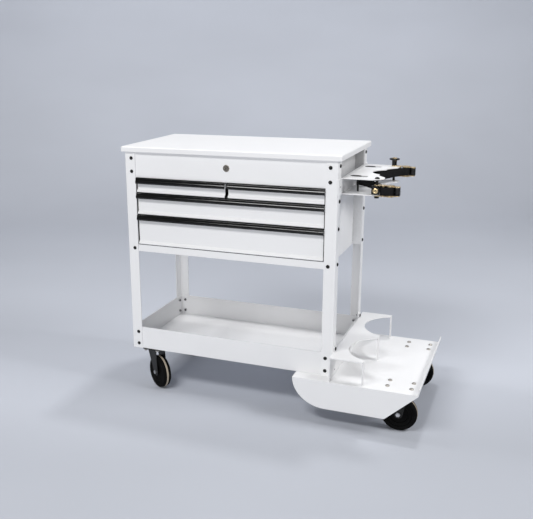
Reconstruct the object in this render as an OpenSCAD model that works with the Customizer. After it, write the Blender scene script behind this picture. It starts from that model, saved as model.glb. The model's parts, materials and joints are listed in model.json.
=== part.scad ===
/* [Frame] */
// width of the frame over the outer faces of the posts
post_span_x = 740; // [700:5:800]
// depth of the frame over the outer faces of the posts
post_span_y = 400; // [390:5:440]
// height of the corner posts
post_h = 708; // [690:2:760]
// width of each flange of a corner post
angle_w = 38; // [36:1:42]
// thickness of the corner posts
angle_t = 3; // [2.5:0.5:4]
// thickness of the folded sheet of the chest and the shelf
sheet_t = 1.5; // [1.2:0.1:1.8]
// height of the underside of the posts above the floor
caster_h = 155; // [150:1:165]

/* [Lid] */
// overhang of the lid past the posts at the sides
lid_over_x = 12; // [8:1:16]
// overhang of the lid past the posts at front and back
lid_over_y = 7; // [5:0.5:7.5]
// thickness of the lid slab
lid_h = 17; // [14:1:20]

/* [Chest] */
// height of the panel in front of the top compartment
front_panel_h = 85; // [82:1:95]
// height of the row with the two small drawers
row_small = 51; // [50:1:56]
// height of the row with the medium drawer
row_medium = 76; // [70:1:84]
// height of the row with the deep drawer
row_deep = 106; // [98:1:112]
// height of the rail below the drawers
rail_h = 25; // [22:1:30]
// distance from the outer face of a post to the side wall of the chest
wall_inset = 32; // [30:1:34]
// height of the pull strip along the top of a drawer
pull_h = 19; // [17:1:21]
// how far a pull stands out in front of the recessed drawer face
pull_depth = 12; // [11:0.5:13]

/* [Shelf] */
// height of the turned-up walls of the shelf tray
tray_h = 80; // [74:1:90]

/* [Cylinder platform] */
// length of the platform past the right-hand posts
platform_out = 287; // [275:1:305]
// length of the platform under the frame
platform_in = 122; // [110:2:130]
// how far the platform stands out past the posts at front and back
platform_over_y = 45; // [42:1:55]
// height of the skirts at the front and back of the platform
skirt_h = 97; // [90:1:100]
// height of the turned-up lip at the right end
lip_h = 22; // [16:1:26]
// thickness of the platform, the cradle and the bracket
plate_t = 3; // [2.5:0.5:3.5]

/* [Cylinder supports] */
// height of the lower cradle above the platform
cradle_h = 83; // [76:1:90]
// reach of both supports past the posts
support_reach = 110; // [104:1:116]
// depth of the round bays of the lower cradle
bay_depth = 73; // [68:1:78]
// width of the three prongs of the cradle
prong_w = 20; // [18:1:26]
// distance from the ends of the post span to the ends of the bracket flanges
bracket_in = 42; // [38:1:50]
// height of the upper bracket
bracket_h = 51; // [50:1:54]
// distance from the top of the posts down to the upper bracket
bracket_drop = 57; // [54:1:66]

/* [Casters] */
// diameter of the wheels
wheel_d = 118; // [112:1:122]
// width of the wheels
wheel_w = 30; // [28:1:32]
// distance from the swivel pivot back to the wheel axle
caster_trail = 24; // [20:1:28]
// length of a caster top plate
caster_plate_l = 95; // [92:1:98]
// width of a caster top plate
caster_plate_w = 66; // [64:1:68]

/* [Fasteners] */
// diameter of the frame bolts
bolt_d = 6; // [5:0.5:7]
// diameter of the caster bolts
caster_bolt_d = 8; // [7:0.5:8]
// diameter of the strap anchor bolts
anchor_d = 8; // [7:0.5:9]

/* [Straps] */
// width of the strap webbing
web_w = 25; // [24:0.5:26]
// thickness of the strap webbing
web_t = 1.6; // [1.2:0.1:1.8]
// distance from the end of a bracket flange to the anchor bolt
anchor_edge = 20; // [18:1:24]
// distance from the anchor bolt to the spool of a ratchet
spool_x = 40; // [38:1:44]

/* [Hidden] */
$fn = 48;
over = 1;
fit = 0.05;
run_gap = 0.3;
slide_gap = 0.4;
mate_gap = 0.5;
half_share = 0.5;
// overall frame of the part: middle of the length at x zero, middle of the depth at y zero
lip_flare = 4;
xl = (lid_over_x - post_span_x - platform_out - lip_flare) / 2;
xr = xl + post_span_x;
yf = -post_span_y / 2;
yb = post_span_y / 2;
z0 = caster_h;
zt = caster_h + post_h;
chest_h = front_panel_h + sheet_t + row_small + row_medium + row_deep + rail_h + mate_gap;
zc = zt - chest_h;
zp = zt - front_panel_h;
xm = (xl + xr) / 2;
// inner faces of the post flanges and of the chest walls
ft = angle_t;
wall_l = xl + wall_inset;
wall_r = xr - wall_inset;
in_l = wall_l + sheet_t;
in_r = wall_r - sheet_t;
jog_y = angle_w;
panel_y = yf + ft;
back_y = yb - ft;

// frame bolts: heights as shares of the chest, the panel and the tray, and distance from the corner
bolt_edge = 24;
panel_bolt_shares = [0.247, 0.776];
rail_bolt_share = 0.44;
side_bolt_shares = [0.052, 0.371, 0.626, 0.959];
tray_bolt_shares = [0.225, 0.775];
plat_bolt_shares = [-0.3, 0, 0.3];
plat_bolt_in = 62;
plat_bolt_ys = [for (k = plat_bolt_shares) k * post_span_y];
front_drops = concat([for (k = panel_bolt_shares) k * front_panel_h], [chest_h - rail_bolt_share * rail_h]);
side_drops = [for (k = side_bolt_shares) k * chest_h];
tray_rises = [for (k = tray_bolt_shares) k * tray_h];
bolt_head_d = 2 * bolt_d;
bolt_head_h = 3.6;
bolt_stack = ft + sheet_t;
nut_w = 5 * bolt_d / 3;
nut_h = 5;
nut_over = 1.5;
socket_d = 4;
socket_depth = 2;
hole_d = bolt_d + 2 * fit;
front_zs = concat([for (d = front_drops) zt - d], [for (r = tray_rises) z0 + r]);
side_zs = concat([for (d = side_drops) zt - d], [for (r = tray_rises) z0 + r]);
support_zs = concat([zt - bracket_drop - bracket_h / 2], [for (r = tray_rises) z0 + r]);
// button head: radius share and height share up the dome
head_shares = [[1, 0], [1, 0.25], [0.92, 0.55], [0.72, 0.82], [0.44, 1]];

// chest
side_flange = 14;
panel_x0 = xl + ft + sheet_t + mate_gap;
panel_l = post_span_x - 2 * (ft + sheet_t + mate_gap);
rail_foot = 22;
panel_foot = 14;
panel_top = 8;
back_drop = 5;

// lid
lid_gap = 0.6;
lid_r = 5;
lid_sheet = 2;
lid_return = 22;
lz0 = zt + lid_gap;
lz1 = lz0 + lid_h;
lx0 = xl - lid_over_x;
lx1 = xr + lid_over_x;
ly0 = yf - lid_over_y;
ly1 = yb + lid_over_y;

// lid hinges: two butt hinges of five knuckles behind the chest
hinge_d = 6;
hinge_pin_d = 3;
hinge_stand = 3.6;
hinge_under = 4;
hinge_y = yb + hinge_stand;
hinge_z = zt - hinge_under;
hinge_len = 100;
hinge_from_end = 110;
knuckle = hinge_len / 5;
leaf_t = 1.5;
leaf_h = 26;
leaf_in = 18;
hinge_xs = [xl + hinge_from_end, xr - hinge_from_end - hinge_len];

// lock and catch
lock_down = 40;
lock_z = zt - lock_down;
lock_d = 18;
lock_ring_d = 23;
lock_ring_t = 2;
lock_len = 18;
lock_nut_d = 24;
lock_nut_t = 3;
plug_d = 12;
cam_t = 3;
cam_w = 9;
cam_boss_d = 15;
cam_reach = 26;
cam_gap = 1;
cam_y = panel_y + lock_len + cam_gap;
key_w = 1.6;
key_h = 7;
key_depth = 3;
catch_y = cam_y - mate_gap - leaf_t;
catch_side = 13;
catch_x = xm + catch_side;
catch_w = 16;
catch_drop = lock_down + cam_w / 2 + mate_gap + leaf_t;
catch_foot = 9;

// drawers
row_gap = 2.5;
side_gap = 1.5;
mid_gap = 4.5;
face_back = 8;
face_y = yf + face_back;
pull_y = face_y - pull_depth;
pull_t = 2;
pull_lap = 3;
lip_out = 7;
lip_rise = 11;
side_drop = 8;
box_rise = 4;
box_t = 1.2;
box_y0 = face_y + sheet_t;
drawer_back_gap = 26;
drawer_len = back_y - sheet_t - box_y0 - drawer_back_gap;
slide_w = 12.7;
slide_h = 26;
slide_t = 1.2;
slide_share = 0.42;
slide_end_gap = 4;
slide_y0 = yf + jog_y + slide_end_gap;
slide_len = post_span_y - 2 * (jog_y + slide_end_gap);
runner_back = 3;
runner_end = 12;
runner_side = 0.8;
runner_w = wall_inset + sheet_t + slide_w - angle_w - runner_side;
runner_y0 = box_y0 + runner_back;
runner_len = drawer_len - runner_back - runner_end;
div_t = sheet_t;
div_flange = 15;
div_back = 30;
div_y0 = box_y0 + div_back;
floor_under = zp - sheet_t;
r1_top = floor_under - side_gap;
r1_h = row_small - row_gap;
r2_top = r1_top - row_small;
r2_h = row_medium - row_gap;
r3_top = r2_top - row_medium;
r3_h = row_deep - row_gap;
front_l = xl + angle_w + side_gap;
front_r = xr - angle_w - side_gap;
box_l = in_l + slide_w;
box_r = in_r - slide_w;
box_ml = xm - div_t / 2 - slide_w;
box_mr = xm + div_t / 2 + slide_w;
// each row is: front left, front right, top, front height, box left, box right
dr_a = [front_l, xm - mid_gap, r1_top, r1_h, box_l, box_ml];
dr_b = [xm + mid_gap, front_r, r1_top, r1_h, box_mr, box_r];
dr_c = [front_l, front_r, r2_top, r2_h, box_l, box_r];
dr_d = [front_l, front_r, r3_top, r3_h, box_l, box_r];
// lip of a drawer front, outside and inside: share of its reach and share of its rise
lip_shares = [[0, 1], [0.3, 0.8], [0.85, 0.5], [1, 0.25], [0.9, 0]];
lip_in_shares = [[0.9, 0.14], [1, 0.3], [0.85, 0.42], [0.3, 0.66], [0, 0.9]];
// pull strip, outside: share of its depth and share of its height
pull_shares = [[0.72, 0], [0.93, 0.12], [1, 0.32], [1, 0.92], [0.95, 1]];
pull_in_shares = [1, 0.9, 0.34];

// shelf tray
tz1 = z0 + tray_h;
tx0 = xl + ft;
tx1 = xr - ft;
ty0 = yf + ft;
ty1 = yb - ft;
hem = 2;
hem_h = 9;

// platform
px0 = xr - platform_in;
px1 = xr + platform_out;
py0 = yf - platform_over_y;
py1 = yb + platform_over_y;
pz1 = z0;
pz0 = z0 - plate_t;
skirt_reach = 112;
chamfer_x = 102;

// lower cradle and upper bracket
cz1 = z0 + cradle_h;
cx1 = xr + support_reach;
cradle_end = 5;
cradle_len = post_span_y + 2 * (platform_over_y - cradle_end);
prong_mid = 30;
bay_chord = (cradle_len - 2 * prong_w - prong_mid) / 2;
bay_r = (bay_chord * bay_chord / 4 + bay_depth * bay_depth) / (2 * bay_depth);
bx = cx1 - bay_depth + bay_r;
bay_ys = [-(prong_mid + bay_chord) / 2, (prong_mid + bay_chord) / 2];
// ears of the cradle on the right-hand posts
ear_w = 26;
ear_h = 15;
uz1 = zt - bracket_drop;
uz0 = uz1 - bracket_h;
ub = post_span_y / 2 - bracket_in;
// tip of a flange: how far it stands past the cradle line, and distances from the flange end
tongue_tip = 17;
tongue_back = 13;
tongue_step = 2;
tongue_tips = [27, 50, 85];
scallop_r = 58;
scallop_out = 12;
ear_edge = 1;
slot_x = 33;
slot_l = 38;
slot_w = 24;
slot_r = 3;
anchor_in = 3;
anchor_x = cx1 - anchor_in;
anchor_ys = [anchor_edge - ub, ub - anchor_edge];
loop_out = 40;
loop_x = xr + loop_out;
loop_d = 6;
loop_dy = 34;

// casters
axle_z = wheel_d / 2;
cp_t = 3;
cp_px = caster_plate_l / 2;
cp_py = caster_plate_w / 2;
plate_r = 6;
caster_bolt_in = 9.5;
caster_bolt_side = 10;
cb_l = cp_px - caster_bolt_in;
cb_w = cp_py - caster_bolt_side;
sw_in_x = 68;
sw_in_y = 49;
rg_out = 221;
rg_in_y = 20;
sw_x = xl + sw_in_x;
sw_ys = [yf + sw_in_y, yb - sw_in_y];
rg_x = xr + rg_out;
rg_ys = [yf + rg_in_y, yb - rg_in_y];
sw_turns = [-35, 128];
fork_t = 2.5;
fork_gap = 1.5;
fork_in = wheel_w / 2 + fork_gap;
fork_w = 34;
fork_half = 29;
axle_d = 8;
axle_head_w = 13;
axle_head_h = 5;
boss_t = 7;
race_d = 52;
race_h = 7;
crown_t = 4;
crown_z = z0 - cp_t - race_h - run_gap - crown_t;
king_d = 10;
king_nut_w = 19;
king_nut_h = 8;
caster_head_d = 1.75 * caster_bolt_d;
caster_head_h = 4.5;
caster_nut_w = 1.625 * caster_bolt_d;
caster_nut_h = 6.5;
caster_hole_d = caster_bolt_d + 2 * fit;
// half section of a wheel: share of the radius and share of the half width
wheel_shares = [[0.52, 0.62], [0.56, 0.86], [0.7, 0.86], [0.73, 0.8], [0.76, 1],
  [0.93, 1], [0.975, 0.8], [0.99, 0.42], [1, 0.38]];

// straps
coil_gap = 0.4;
web_gap = 1;
rat_t = 2;
rat_in = web_w + 2 * (rat_t + 2 * run_gap + coil_gap);
rat_w = 26;
rod_d = 7;
rod_x = 20;
shaft_d = 10;
handle_reach = 31;
grip_l = 14;
grip_r = 4;
coil_turns = 3;
coil_space = 0.6;
coil_pitch = web_t + coil_space;
coil_steps = 20;
start_share = 0.25;
mid_z = (uz0 + uz1) / 2;
rat_z = uz0 - run_gap - rat_t;
block_left = 15;
block_right = 10;
block_y = 10;
block_z = rat_t + run_gap + plate_t + run_gap;
block_h = rat_t + rat_in - run_gap - block_z;
block_mid = block_z + block_h / 2;
stud_d = 6;
stud_l = 14;
knob_d = 34;
near_knob_d = 26;
near_stud_l = 8;
knob_t = 5;
stem_d = 16;
near_stem = 7;
far_stem = 19;
cap_d = 14;
cap_t = 2;
far_knob_z = uz1 + run_gap + rat_t + run_gap;
anchor_head_d = 1.9 * anchor_d;
anchor_head_h = 5;
anchor_nut_w = 1.625 * anchor_d;
anchor_nut_h = 6.5;
loop_head_d = 11;
loop_head_h = 2.5;
// knob flange: share of its diameter and share of its thickness
knob_shares = [[0.47, 0], [0.5, 0.3], [0.5, 0.7], [0.44, 1]];

// a button-head bolt: the head stands on the plane z zero and the shank points down
module button_bolt(d, head_d, head_h, len) {
  difference() {
    union() {
      rotate_extrude()
        polygon(concat([[0, 0]], [for (p = head_shares) [p[0] * head_d / 2, p[1] * head_h]], [[0, head_h]]));
      translate([0, 0, -len]) cylinder(d = d, h = len + head_h * half_share);
    }
    translate([0, 0, head_h - socket_depth]) cylinder(d = socket_d, h = socket_depth + over, $fn = 6);
  }
}

// a hexagon nut whose bearing face is the plane z zero and which stands below it
module hex_nut(d, w, h) {
  translate([0, 0, -h]) difference() {
    cylinder(d = w / cos(30), h = h, $fn = 6);
    translate([0, 0, -over]) cylinder(d = d + 2 * fit, h = h + 2 * over);
  }
}

// places its children at every frame bolt, z pointing out of the post
module each_frame_bolt() {
  for (z = front_zs) {
    for (x = [xl + bolt_edge, xr - bolt_edge]) {
      translate([x, yf, z]) rotate([90, 0, 0]) children();
      translate([x, yb, z]) rotate([-90, 0, 0]) children();
    }
  }
  for (z = side_zs) {
    for (y = [yf + bolt_edge, yb - bolt_edge]) {
      translate([xl, y, z]) rotate([0, -90, 0]) children();
      if (z > z0 + cradle_h) translate([xr, y, z]) rotate([0, 90, 0]) children();
    }
  }
}

// places its children at the bolts that hold the cradle and the bracket, heads inside the right-hand posts
module each_support_bolt() {
  for (z = support_zs) {
    for (y = [yf + bolt_edge, yb - bolt_edge]) {
      translate([xr - bolt_stack, y, z]) rotate([0, -90, 0]) children();
    }
  }
}

// places its children at the bolts through the ears of the cradle and the right-hand posts
module each_ear_bolt() {
  for (y = [yf + bolt_edge, yb - bolt_edge]) {
    translate([xr + plate_t, y, cz1 + ear_h * half_share]) rotate([0, 90, 0]) children();
  }
}

// places its children at the studs below the shelf tray that hold the platform
module each_platform_stud() {
  for (y = plat_bolt_ys) {
    translate([xr - plat_bolt_in, y, z0]) children();
  }
}

// a welded stud that points down from the plane z zero
module stud(d, len) {
  translate([0, 0, -len]) cylinder(d = d, h = len);
}

// a hole from just above the plane z zero down through a stack
module bolt_hole(d, stack) {
  translate([0, 0, -stack - over]) cylinder(d = d, h = stack + 2 * over);
}

// the holes that the frame bolts need in whatever they pass through
module frame_bolt_holes() {
  each_frame_bolt() bolt_hole(hole_d, bolt_stack);
  each_support_bolt() bolt_hole(hole_d, plate_t + bolt_stack);
  each_ear_bolt() bolt_hole(hole_d, plate_t + ft);
}

// one corner post with its outer corner at the origin, flanges along plus x and plus y
module post_profile() {
  difference() {
    union() {
      translate([ft, 0]) square([angle_w - ft, ft]);
      translate([0, ft]) square([ft, angle_w - ft]);
      translate([ft, ft]) circle(r = ft);
      translate([ft, ft]) square([ft * half_share, ft * half_share]);
    }
    translate([ft, ft]) square([angle_w, angle_w]);
  }
}

module post_at(x, y, mx, my) {
  difference() {
    translate([x, y, z0]) mirror([mx, 0, 0]) mirror([0, my, 0]) linear_extrude(height = post_h) post_profile();
    frame_bolt_holes();
  }
}

module post_front_left() {
  color("white") post_at(xl, yf, 0, 0);
}

module post_front_right() {
  color("white") post_at(xr, yf, 1, 0);
}

module post_rear_left() {
  color("white") post_at(xl, yb, 0, 1);
}

module post_rear_right() {
  color("white") post_at(xr, yb, 1, 1);
}

// shelf tray: floor and four turned-up walls with a folded hem along the top
module shelf_tray() {
  color("white") difference() {
    translate([tx0, ty0, z0]) cube([tx1 - tx0, ty1 - ty0, tray_h]);
    translate([tx0 + sheet_t, ty0 + sheet_t, z0 + sheet_t])
      cube([tx1 - tx0 - 2 * sheet_t, ty1 - ty0 - 2 * sheet_t, tray_h - sheet_t - hem_h]);
    translate([tx0 + sheet_t + hem, ty0 + sheet_t + hem, tz1 - hem_h - over])
      cube([tx1 - tx0 - 2 * (sheet_t + hem), ty1 - ty0 - 2 * (sheet_t + hem), hem_h + 2 * over]);
    frame_bolt_holes();
  }
}

// chest side wall: set in between the posts, stepped out to the post flanges at both ends
module side_profile() {
  translate([ft, ft + sheet_t + mate_gap]) square([sheet_t, jog_y - ft - mate_gap]);
  translate([ft, jog_y]) square([wall_inset + sheet_t - ft, sheet_t]);
  translate([wall_inset, jog_y]) square([sheet_t, post_span_y - 2 * jog_y]);
  translate([ft, post_span_y - jog_y - sheet_t]) square([wall_inset + sheet_t - ft, sheet_t]);
  translate([ft, post_span_y - jog_y - sheet_t]) square([sheet_t, jog_y - ft - mate_gap]);
}

module chest_side() {
  translate([xl, yf, zc]) linear_extrude(height = chest_h) side_profile();
  translate([wall_l, yf + jog_y, zc]) cube([side_flange + sheet_t, post_span_y - 2 * jog_y, sheet_t]);
  translate([wall_l, yf + jog_y, zt - sheet_t]) cube([side_flange + sheet_t, post_span_y - 2 * jog_y, sheet_t]);
}

module chest_side_left() {
  color("white") difference() {
    chest_side();
    frame_bolt_holes();
  }
}

module chest_side_right() {
  color("white") difference() {
    translate([2 * xm, 0, 0]) mirror([1, 0, 0]) chest_side();
    frame_bolt_holes();
  }
}

module chest_back() {
  color("white") difference() {
    translate([panel_x0, back_y - sheet_t, zc]) cube([panel_l, sheet_t, chest_h - back_drop]);
    frame_bolt_holes();
  }
}

module chest_floor() {
  color("white") translate([in_l + mate_gap, panel_y + sheet_t + mate_gap, zc + sheet_t])
    cube([in_r - in_l - 2 * mate_gap, post_span_y - 2 * (ft + sheet_t + mate_gap), sheet_t]);
}

// a folded channel along x, opening to the back, of height h and flange depths a below and b above
module channel_x(x, y, z, len, h, a, b) {
  translate([x, y, z]) cube([len, sheet_t, h]);
  translate([x, y, z]) cube([len, a, sheet_t]);
  translate([x, y, z + h - sheet_t]) cube([len, b, sheet_t]);
}

module chest_front_rail() {
  color("white") difference() {
    channel_x(panel_x0, panel_y, zc, panel_l, rail_h, rail_foot, panel_foot);
    frame_bolt_holes();
  }
}

module chest_front_panel() {
  color("white") difference() {
    channel_x(panel_x0, panel_y, zp, panel_l, front_panel_h, panel_foot, panel_top);
    frame_bolt_holes();
    translate([xm, panel_y + sheet_t + over, lock_z]) rotate([90, 0, 0])
      cylinder(d = lock_d + 2 * fit, h = sheet_t + 2 * over);
  }
}

module top_compartment_floor() {
  color("white") translate([in_l + mate_gap, panel_y + mate_gap, zp - sheet_t])
    cube([in_r - in_l - 2 * mate_gap, post_span_y - 2 * (ft + sheet_t) + sheet_t - 2 * mate_gap, sheet_t]);
}

module drawer_divider() {
  color("white") union() {
    translate([xm - div_t / 2, div_y0, r2_top + side_gap])
      cube([div_t, back_y - sheet_t - div_y0, floor_under - r2_top - side_gap]);
    translate([xm - div_t / 2, div_y0, floor_under - div_t])
      cube([div_flange, back_y - sheet_t - div_y0, div_t]);
  }
}

// height of the middle of the slides of a drawer row
function slide_mid(d) = d[2] - d[3] + slide_rise(d);
function slide_rise(d) = d[3] * slide_share;

// one fixed slide rail against a wall whose face is at x; s is the side it opens to
module fixed_rail(x, z, s) {
  translate([x, slide_y0, z - slide_h / 2]) scale([s, 1, 1]) difference() {
    cube([slide_w - slide_t - mate_gap, slide_len, slide_h]);
    translate([slide_t, -over, slide_t]) cube([slide_w, slide_len + 2 * over, slide_h - 2 * slide_t]);
  }
}

module slide_rails() {
  color("silver") union() {
    for (d = [dr_c, dr_d]) {
      fixed_rail(in_l, slide_mid(d), 1);
      fixed_rail(in_r, slide_mid(d), -1);
    }
    fixed_rail(in_l, slide_mid(dr_a), 1);
    fixed_rail(xm - div_t / 2, slide_mid(dr_a), -1);
    fixed_rail(xm + div_t / 2, slide_mid(dr_b), 1);
    fixed_rail(in_r, slide_mid(dr_b), -1);
  }
}

// one runner fixed to a drawer side at x; s points from the box to the wall
module runner(x, z, s) {
  rh = slide_h - 2 * slide_t - 2 * slide_gap;
  translate([x, runner_y0, z - rh / 2]) scale([s, 1, 1]) difference() {
    cube([runner_w, runner_len, rh]);
    translate([slide_t, -over, slide_t]) cube([slide_w, runner_len + 2 * over, rh - 2 * slide_t]);
  }
}

module runners(d) {
  color("silver") union() {
    runner(d[4], slide_mid(d), -1);
    runner(d[5], slide_mid(d), 1);
  }
}

// drawer body: open tray with a recessed face and a lip that bulges forward along the bottom
module drawer_body(d) {
  fz = d[2] - d[3];
  color("white") union() {
    translate([d[0], face_y, 0]) rotate([90, 0, 90]) linear_extrude(height = d[1] - d[0]) polygon(concat(
      [[0, d[2] - sheet_t]],
      [for (p = lip_shares) [-lip_out * p[0], fz + lip_rise * p[1]]],
      [[sheet_t, fz], [sheet_t, fz + lip_rise * lip_in_shares[0][1]]],
      [for (p = lip_in_shares) [sheet_t - lip_out * p[0], fz + lip_rise * p[1]]],
      [[sheet_t, d[2] - sheet_t]]));
    difference() {
      translate([d[4], box_y0 - box_t * half_share, fz + box_rise])
        cube([d[5] - d[4], drawer_len, d[3] - box_rise - side_drop]);
      translate([d[4] + box_t, box_y0 + box_t, fz + box_rise + box_t])
        cube([d[5] - d[4] - 2 * box_t, drawer_len - 2.5 * box_t, d[3]]);
    }
  }
}

// full-width pull strip: hooked section open below for the fingers
module drawer_pull(d) {
  top = d[2];
  color("black") translate([d[0], face_y, 0]) rotate([90, 0, 90]) linear_extrude(height = d[1] - d[0])
    polygon(concat(
      [[sheet_t + pull_lap, top]],
      [for (p = pull_shares) [-pull_depth * p[0], top - pull_h * p[1]]],
      [for (k = pull_in_shares) [pull_t - pull_depth, top - pull_h * k]],
      [[pull_t * half_share - pull_depth * pull_shares[0][0], top - sheet_t]],
      [[sheet_t + pull_lap, top - sheet_t]]));
}

module drawer_small_left_body() {
  drawer_body(dr_a);
}

module drawer_small_left_pull() {
  drawer_pull(dr_a);
}

module drawer_small_left_runners() {
  runners(dr_a);
}

module drawer_small_right_body() {
  drawer_body(dr_b);
}

module drawer_small_right_pull() {
  drawer_pull(dr_b);
}

module drawer_small_right_runners() {
  runners(dr_b);
}

module drawer_medium_body() {
  drawer_body(dr_c);
}

module drawer_medium_pull() {
  drawer_pull(dr_c);
}

module drawer_medium_runners() {
  runners(dr_c);
}

module drawer_deep_body() {
  drawer_body(dr_d);
}

module drawer_deep_pull() {
  drawer_pull(dr_d);
}

module drawer_deep_runners() {
  runners(dr_d);
}

// lid pan: rounded top edges, hollow below, with a return flange all round
module lid_panel() {
  color("white") difference() {
    hull() {
      for (x = [lx0 + lid_r, lx1 - lid_r]) {
        for (y = [ly0 + lid_r, ly1 - lid_r]) {
          translate([x, y, lz0]) cylinder(r = lid_r, h = lid_h - lid_r * half_share, $fn = 32);
          translate([x, y, lz1 - lid_r * half_share])
            cylinder(r1 = lid_r, r2 = lid_r * half_share, h = lid_r * half_share, $fn = 32);
        }
      }
    }
    translate([lx0 + lid_sheet, ly0 + lid_sheet, lz0 + sheet_t])
      cube([lx1 - lx0 - 2 * lid_sheet, ly1 - ly0 - 2 * lid_sheet, lid_h - sheet_t - lid_sheet]);
    translate([lx0 + lid_return, ly0 + lid_return, lz0 - over])
      cube([lx1 - lx0 - 2 * lid_return, ly1 - ly0 - 2 * lid_return, 2 * over + sheet_t]);
  }
}

// knuckles of one hinge: which of the five belong to this leaf
module knuckles(ids) {
  for (i = ids) {
    difference() {
      translate([i * knuckle + run_gap / 2, hinge_y, hinge_z]) rotate([0, 90, 0])
        cylinder(d = hinge_d, h = knuckle - run_gap);
      translate([i * knuckle - over, hinge_y, hinge_z]) rotate([0, 90, 0])
        cylinder(d = hinge_pin_d + 2 * fit, h = knuckle + 2 * over);
    }
  }
}

// fixed hinge leaves: flat on the chest back, stepped out to the knuckles
module hinge_frame_leaves() {
  step_y = hinge_y - hinge_pin_d * 0.7;
  color("silver") union() {
    for (hx = hinge_xs) {
      translate([hx, 0, 0]) knuckles([0, 2, 4]);
      translate([hx, back_y, hinge_z - leaf_h]) cube([hinge_len, leaf_t, leaf_h - hinge_d * half_share]);
      for (i = [0, 2, 4]) {
        translate([hx + i * knuckle + run_gap / 2, back_y, hinge_z - hinge_d - leaf_t])
          cube([knuckle - run_gap, step_y - back_y, leaf_t]);
        translate([hx + i * knuckle + run_gap / 2, step_y - leaf_t, hinge_z - hinge_d - leaf_t])
          cube([knuckle - run_gap, leaf_t, hinge_d + leaf_t]);
      }
    }
  }
}

module hinge_pins() {
  color("silver") for (hx = hinge_xs) {
    translate([hx - run_gap, hinge_y, hinge_z]) rotate([0, 90, 0])
      cylinder(d = hinge_pin_d, h = hinge_len + 2 * run_gap);
  }
}

// lid hinge leaves: flat under the rear return flange of the lid
module lid_hinge_leaves() {
  color("silver") union() {
    for (hx = hinge_xs) {
      translate([hx, 0, 0]) knuckles([1, 3]);
      for (i = [1, 3]) {
        translate([hx + i * knuckle + run_gap / 2, hinge_y - hinge_d * half_share, hinge_z])
          cube([knuckle - run_gap, leaf_t, lz0 - leaf_t - hinge_z + leaf_t * half_share]);
      }
      translate([hx + knuckle + run_gap / 2, hinge_y - leaf_in, lz0 - leaf_t])
        cube([3 * knuckle - run_gap, leaf_in - hinge_d * half_share + leaf_t, leaf_t]);
    }
  }
}

// catch on the lid that the lock cam turns over
module lid_catch() {
  color("silver") union() {
    translate([catch_x, catch_y, zt - catch_drop]) cube([catch_w, leaf_t, lz1 - lid_sheet - zt + catch_drop]);
    translate([catch_x, catch_y, zt - catch_drop]) cube([catch_w, catch_foot, leaf_t]);
    translate([catch_x, catch_y, lz1 - lid_sheet - leaf_t]) cube([catch_w, catch_foot * 2, leaf_t]);
  }
}

// lock barrel with its ring in front of the panel and its nut behind
module lock_barrel() {
  color("silver") translate([xm, panel_y, lock_z]) rotate([-90, 0, 0]) difference() {
    union() {
      translate([0, 0, -lock_ring_t])
        cylinder(d1 = lock_ring_d - lock_ring_t, d2 = lock_ring_d, h = lock_ring_t);
      cylinder(d = lock_d, h = lock_len);
      translate([0, 0, sheet_t]) cylinder(d = lock_nut_d, h = lock_nut_t, $fn = 6);
    }
    translate([0, 0, -lock_ring_t - over])
      cylinder(d = plug_d + 4 * fit, h = lock_len + lock_ring_t + 2 * over);
  }
}

// turning plug of the lock with its cam pointing up
module lock_plug() {
  plug_y = panel_y - lock_ring_t - mate_gap;
  color("silver") difference() {
    union() {
      translate([xm, plug_y, lock_z]) rotate([-90, 0, 0]) cylinder(d = plug_d, h = cam_y + cam_t - plug_y);
      translate([xm - cam_w / 2, cam_y, lock_z]) cube([cam_w, cam_t, cam_reach]);
      translate([xm, cam_y, lock_z]) rotate([-90, 0, 0]) cylinder(d = cam_boss_d, h = cam_t);
    }
    translate([xm - key_w / 2, plug_y - over, lock_z - key_h / 2]) cube([key_w, key_depth + over, key_h]);
  }
}

// outline of a skirt: rounded at the left, cut off at an angle at the right
module skirt_profile() {
  polygon(concat(
    [[px1, 0]],
    [for (a = [0 : 7.5 : 90]) [px0 + skirt_reach * (1 - cos(a)), -skirt_h * sin(a)]],
    [[px1 - chamfer_x, -skirt_h], [px1, -plate_t]]));
}

// platform: flat plate, skirts down at front and back, lip up at the right
module cylinder_platform() {
  color("white") difference() {
    union() {
      translate([px0, py0, pz0]) cube([px1 - px0, py1 - py0, plate_t]);
      translate([0, py0 + plate_t, pz1]) rotate([90, 0, 0]) linear_extrude(height = plate_t) skirt_profile();
      translate([0, py1, pz1]) rotate([90, 0, 0]) linear_extrude(height = plate_t) skirt_profile();
      translate([px1 - plate_t, py1, 0]) rotate([90, 0, 0]) linear_extrude(height = py1 - py0) polygon([
        [0, pz0], [plate_t, pz0], [plate_t + lip_flare, pz1 + lip_h], [lip_flare, pz1 + lip_h]]);
    }
    each_rigid_bolt() bolt_hole(caster_hole_d, plate_t);
    each_platform_stud() bolt_hole(hole_d, plate_t);
  }
}

// lower cradle: back plate, top plate with two round bays, three prongs bent down to the platform
module lower_cradle() {
  color("white") difference() {
    union() {
      translate([xr, py0 + cradle_end, z0]) cube([plate_t, cradle_len, cradle_h]);
      translate([xr, py0 + cradle_end, cz1 - plate_t]) cube([support_reach, cradle_len, plate_t]);
      for (y = [yf + bolt_edge, yb - bolt_edge]) {
        translate([xr, y - ear_w / 2, cz1 - plate_t]) cube([plate_t, ear_w, ear_h + plate_t]);
      }
      for (y = [py0 + cradle_end, -prong_w / 2, py1 - cradle_end - prong_w]) {
        translate([cx1 - plate_t, y, z0]) cube([plate_t, prong_w, cradle_h]);
      }
    }
    for (y = bay_ys) {
      translate([bx, y, cz1 - plate_t - over]) cylinder(r = bay_r, h = plate_t + 2 * over, $fn = 96);
    }
    frame_bolt_holes();
  }
}

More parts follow.
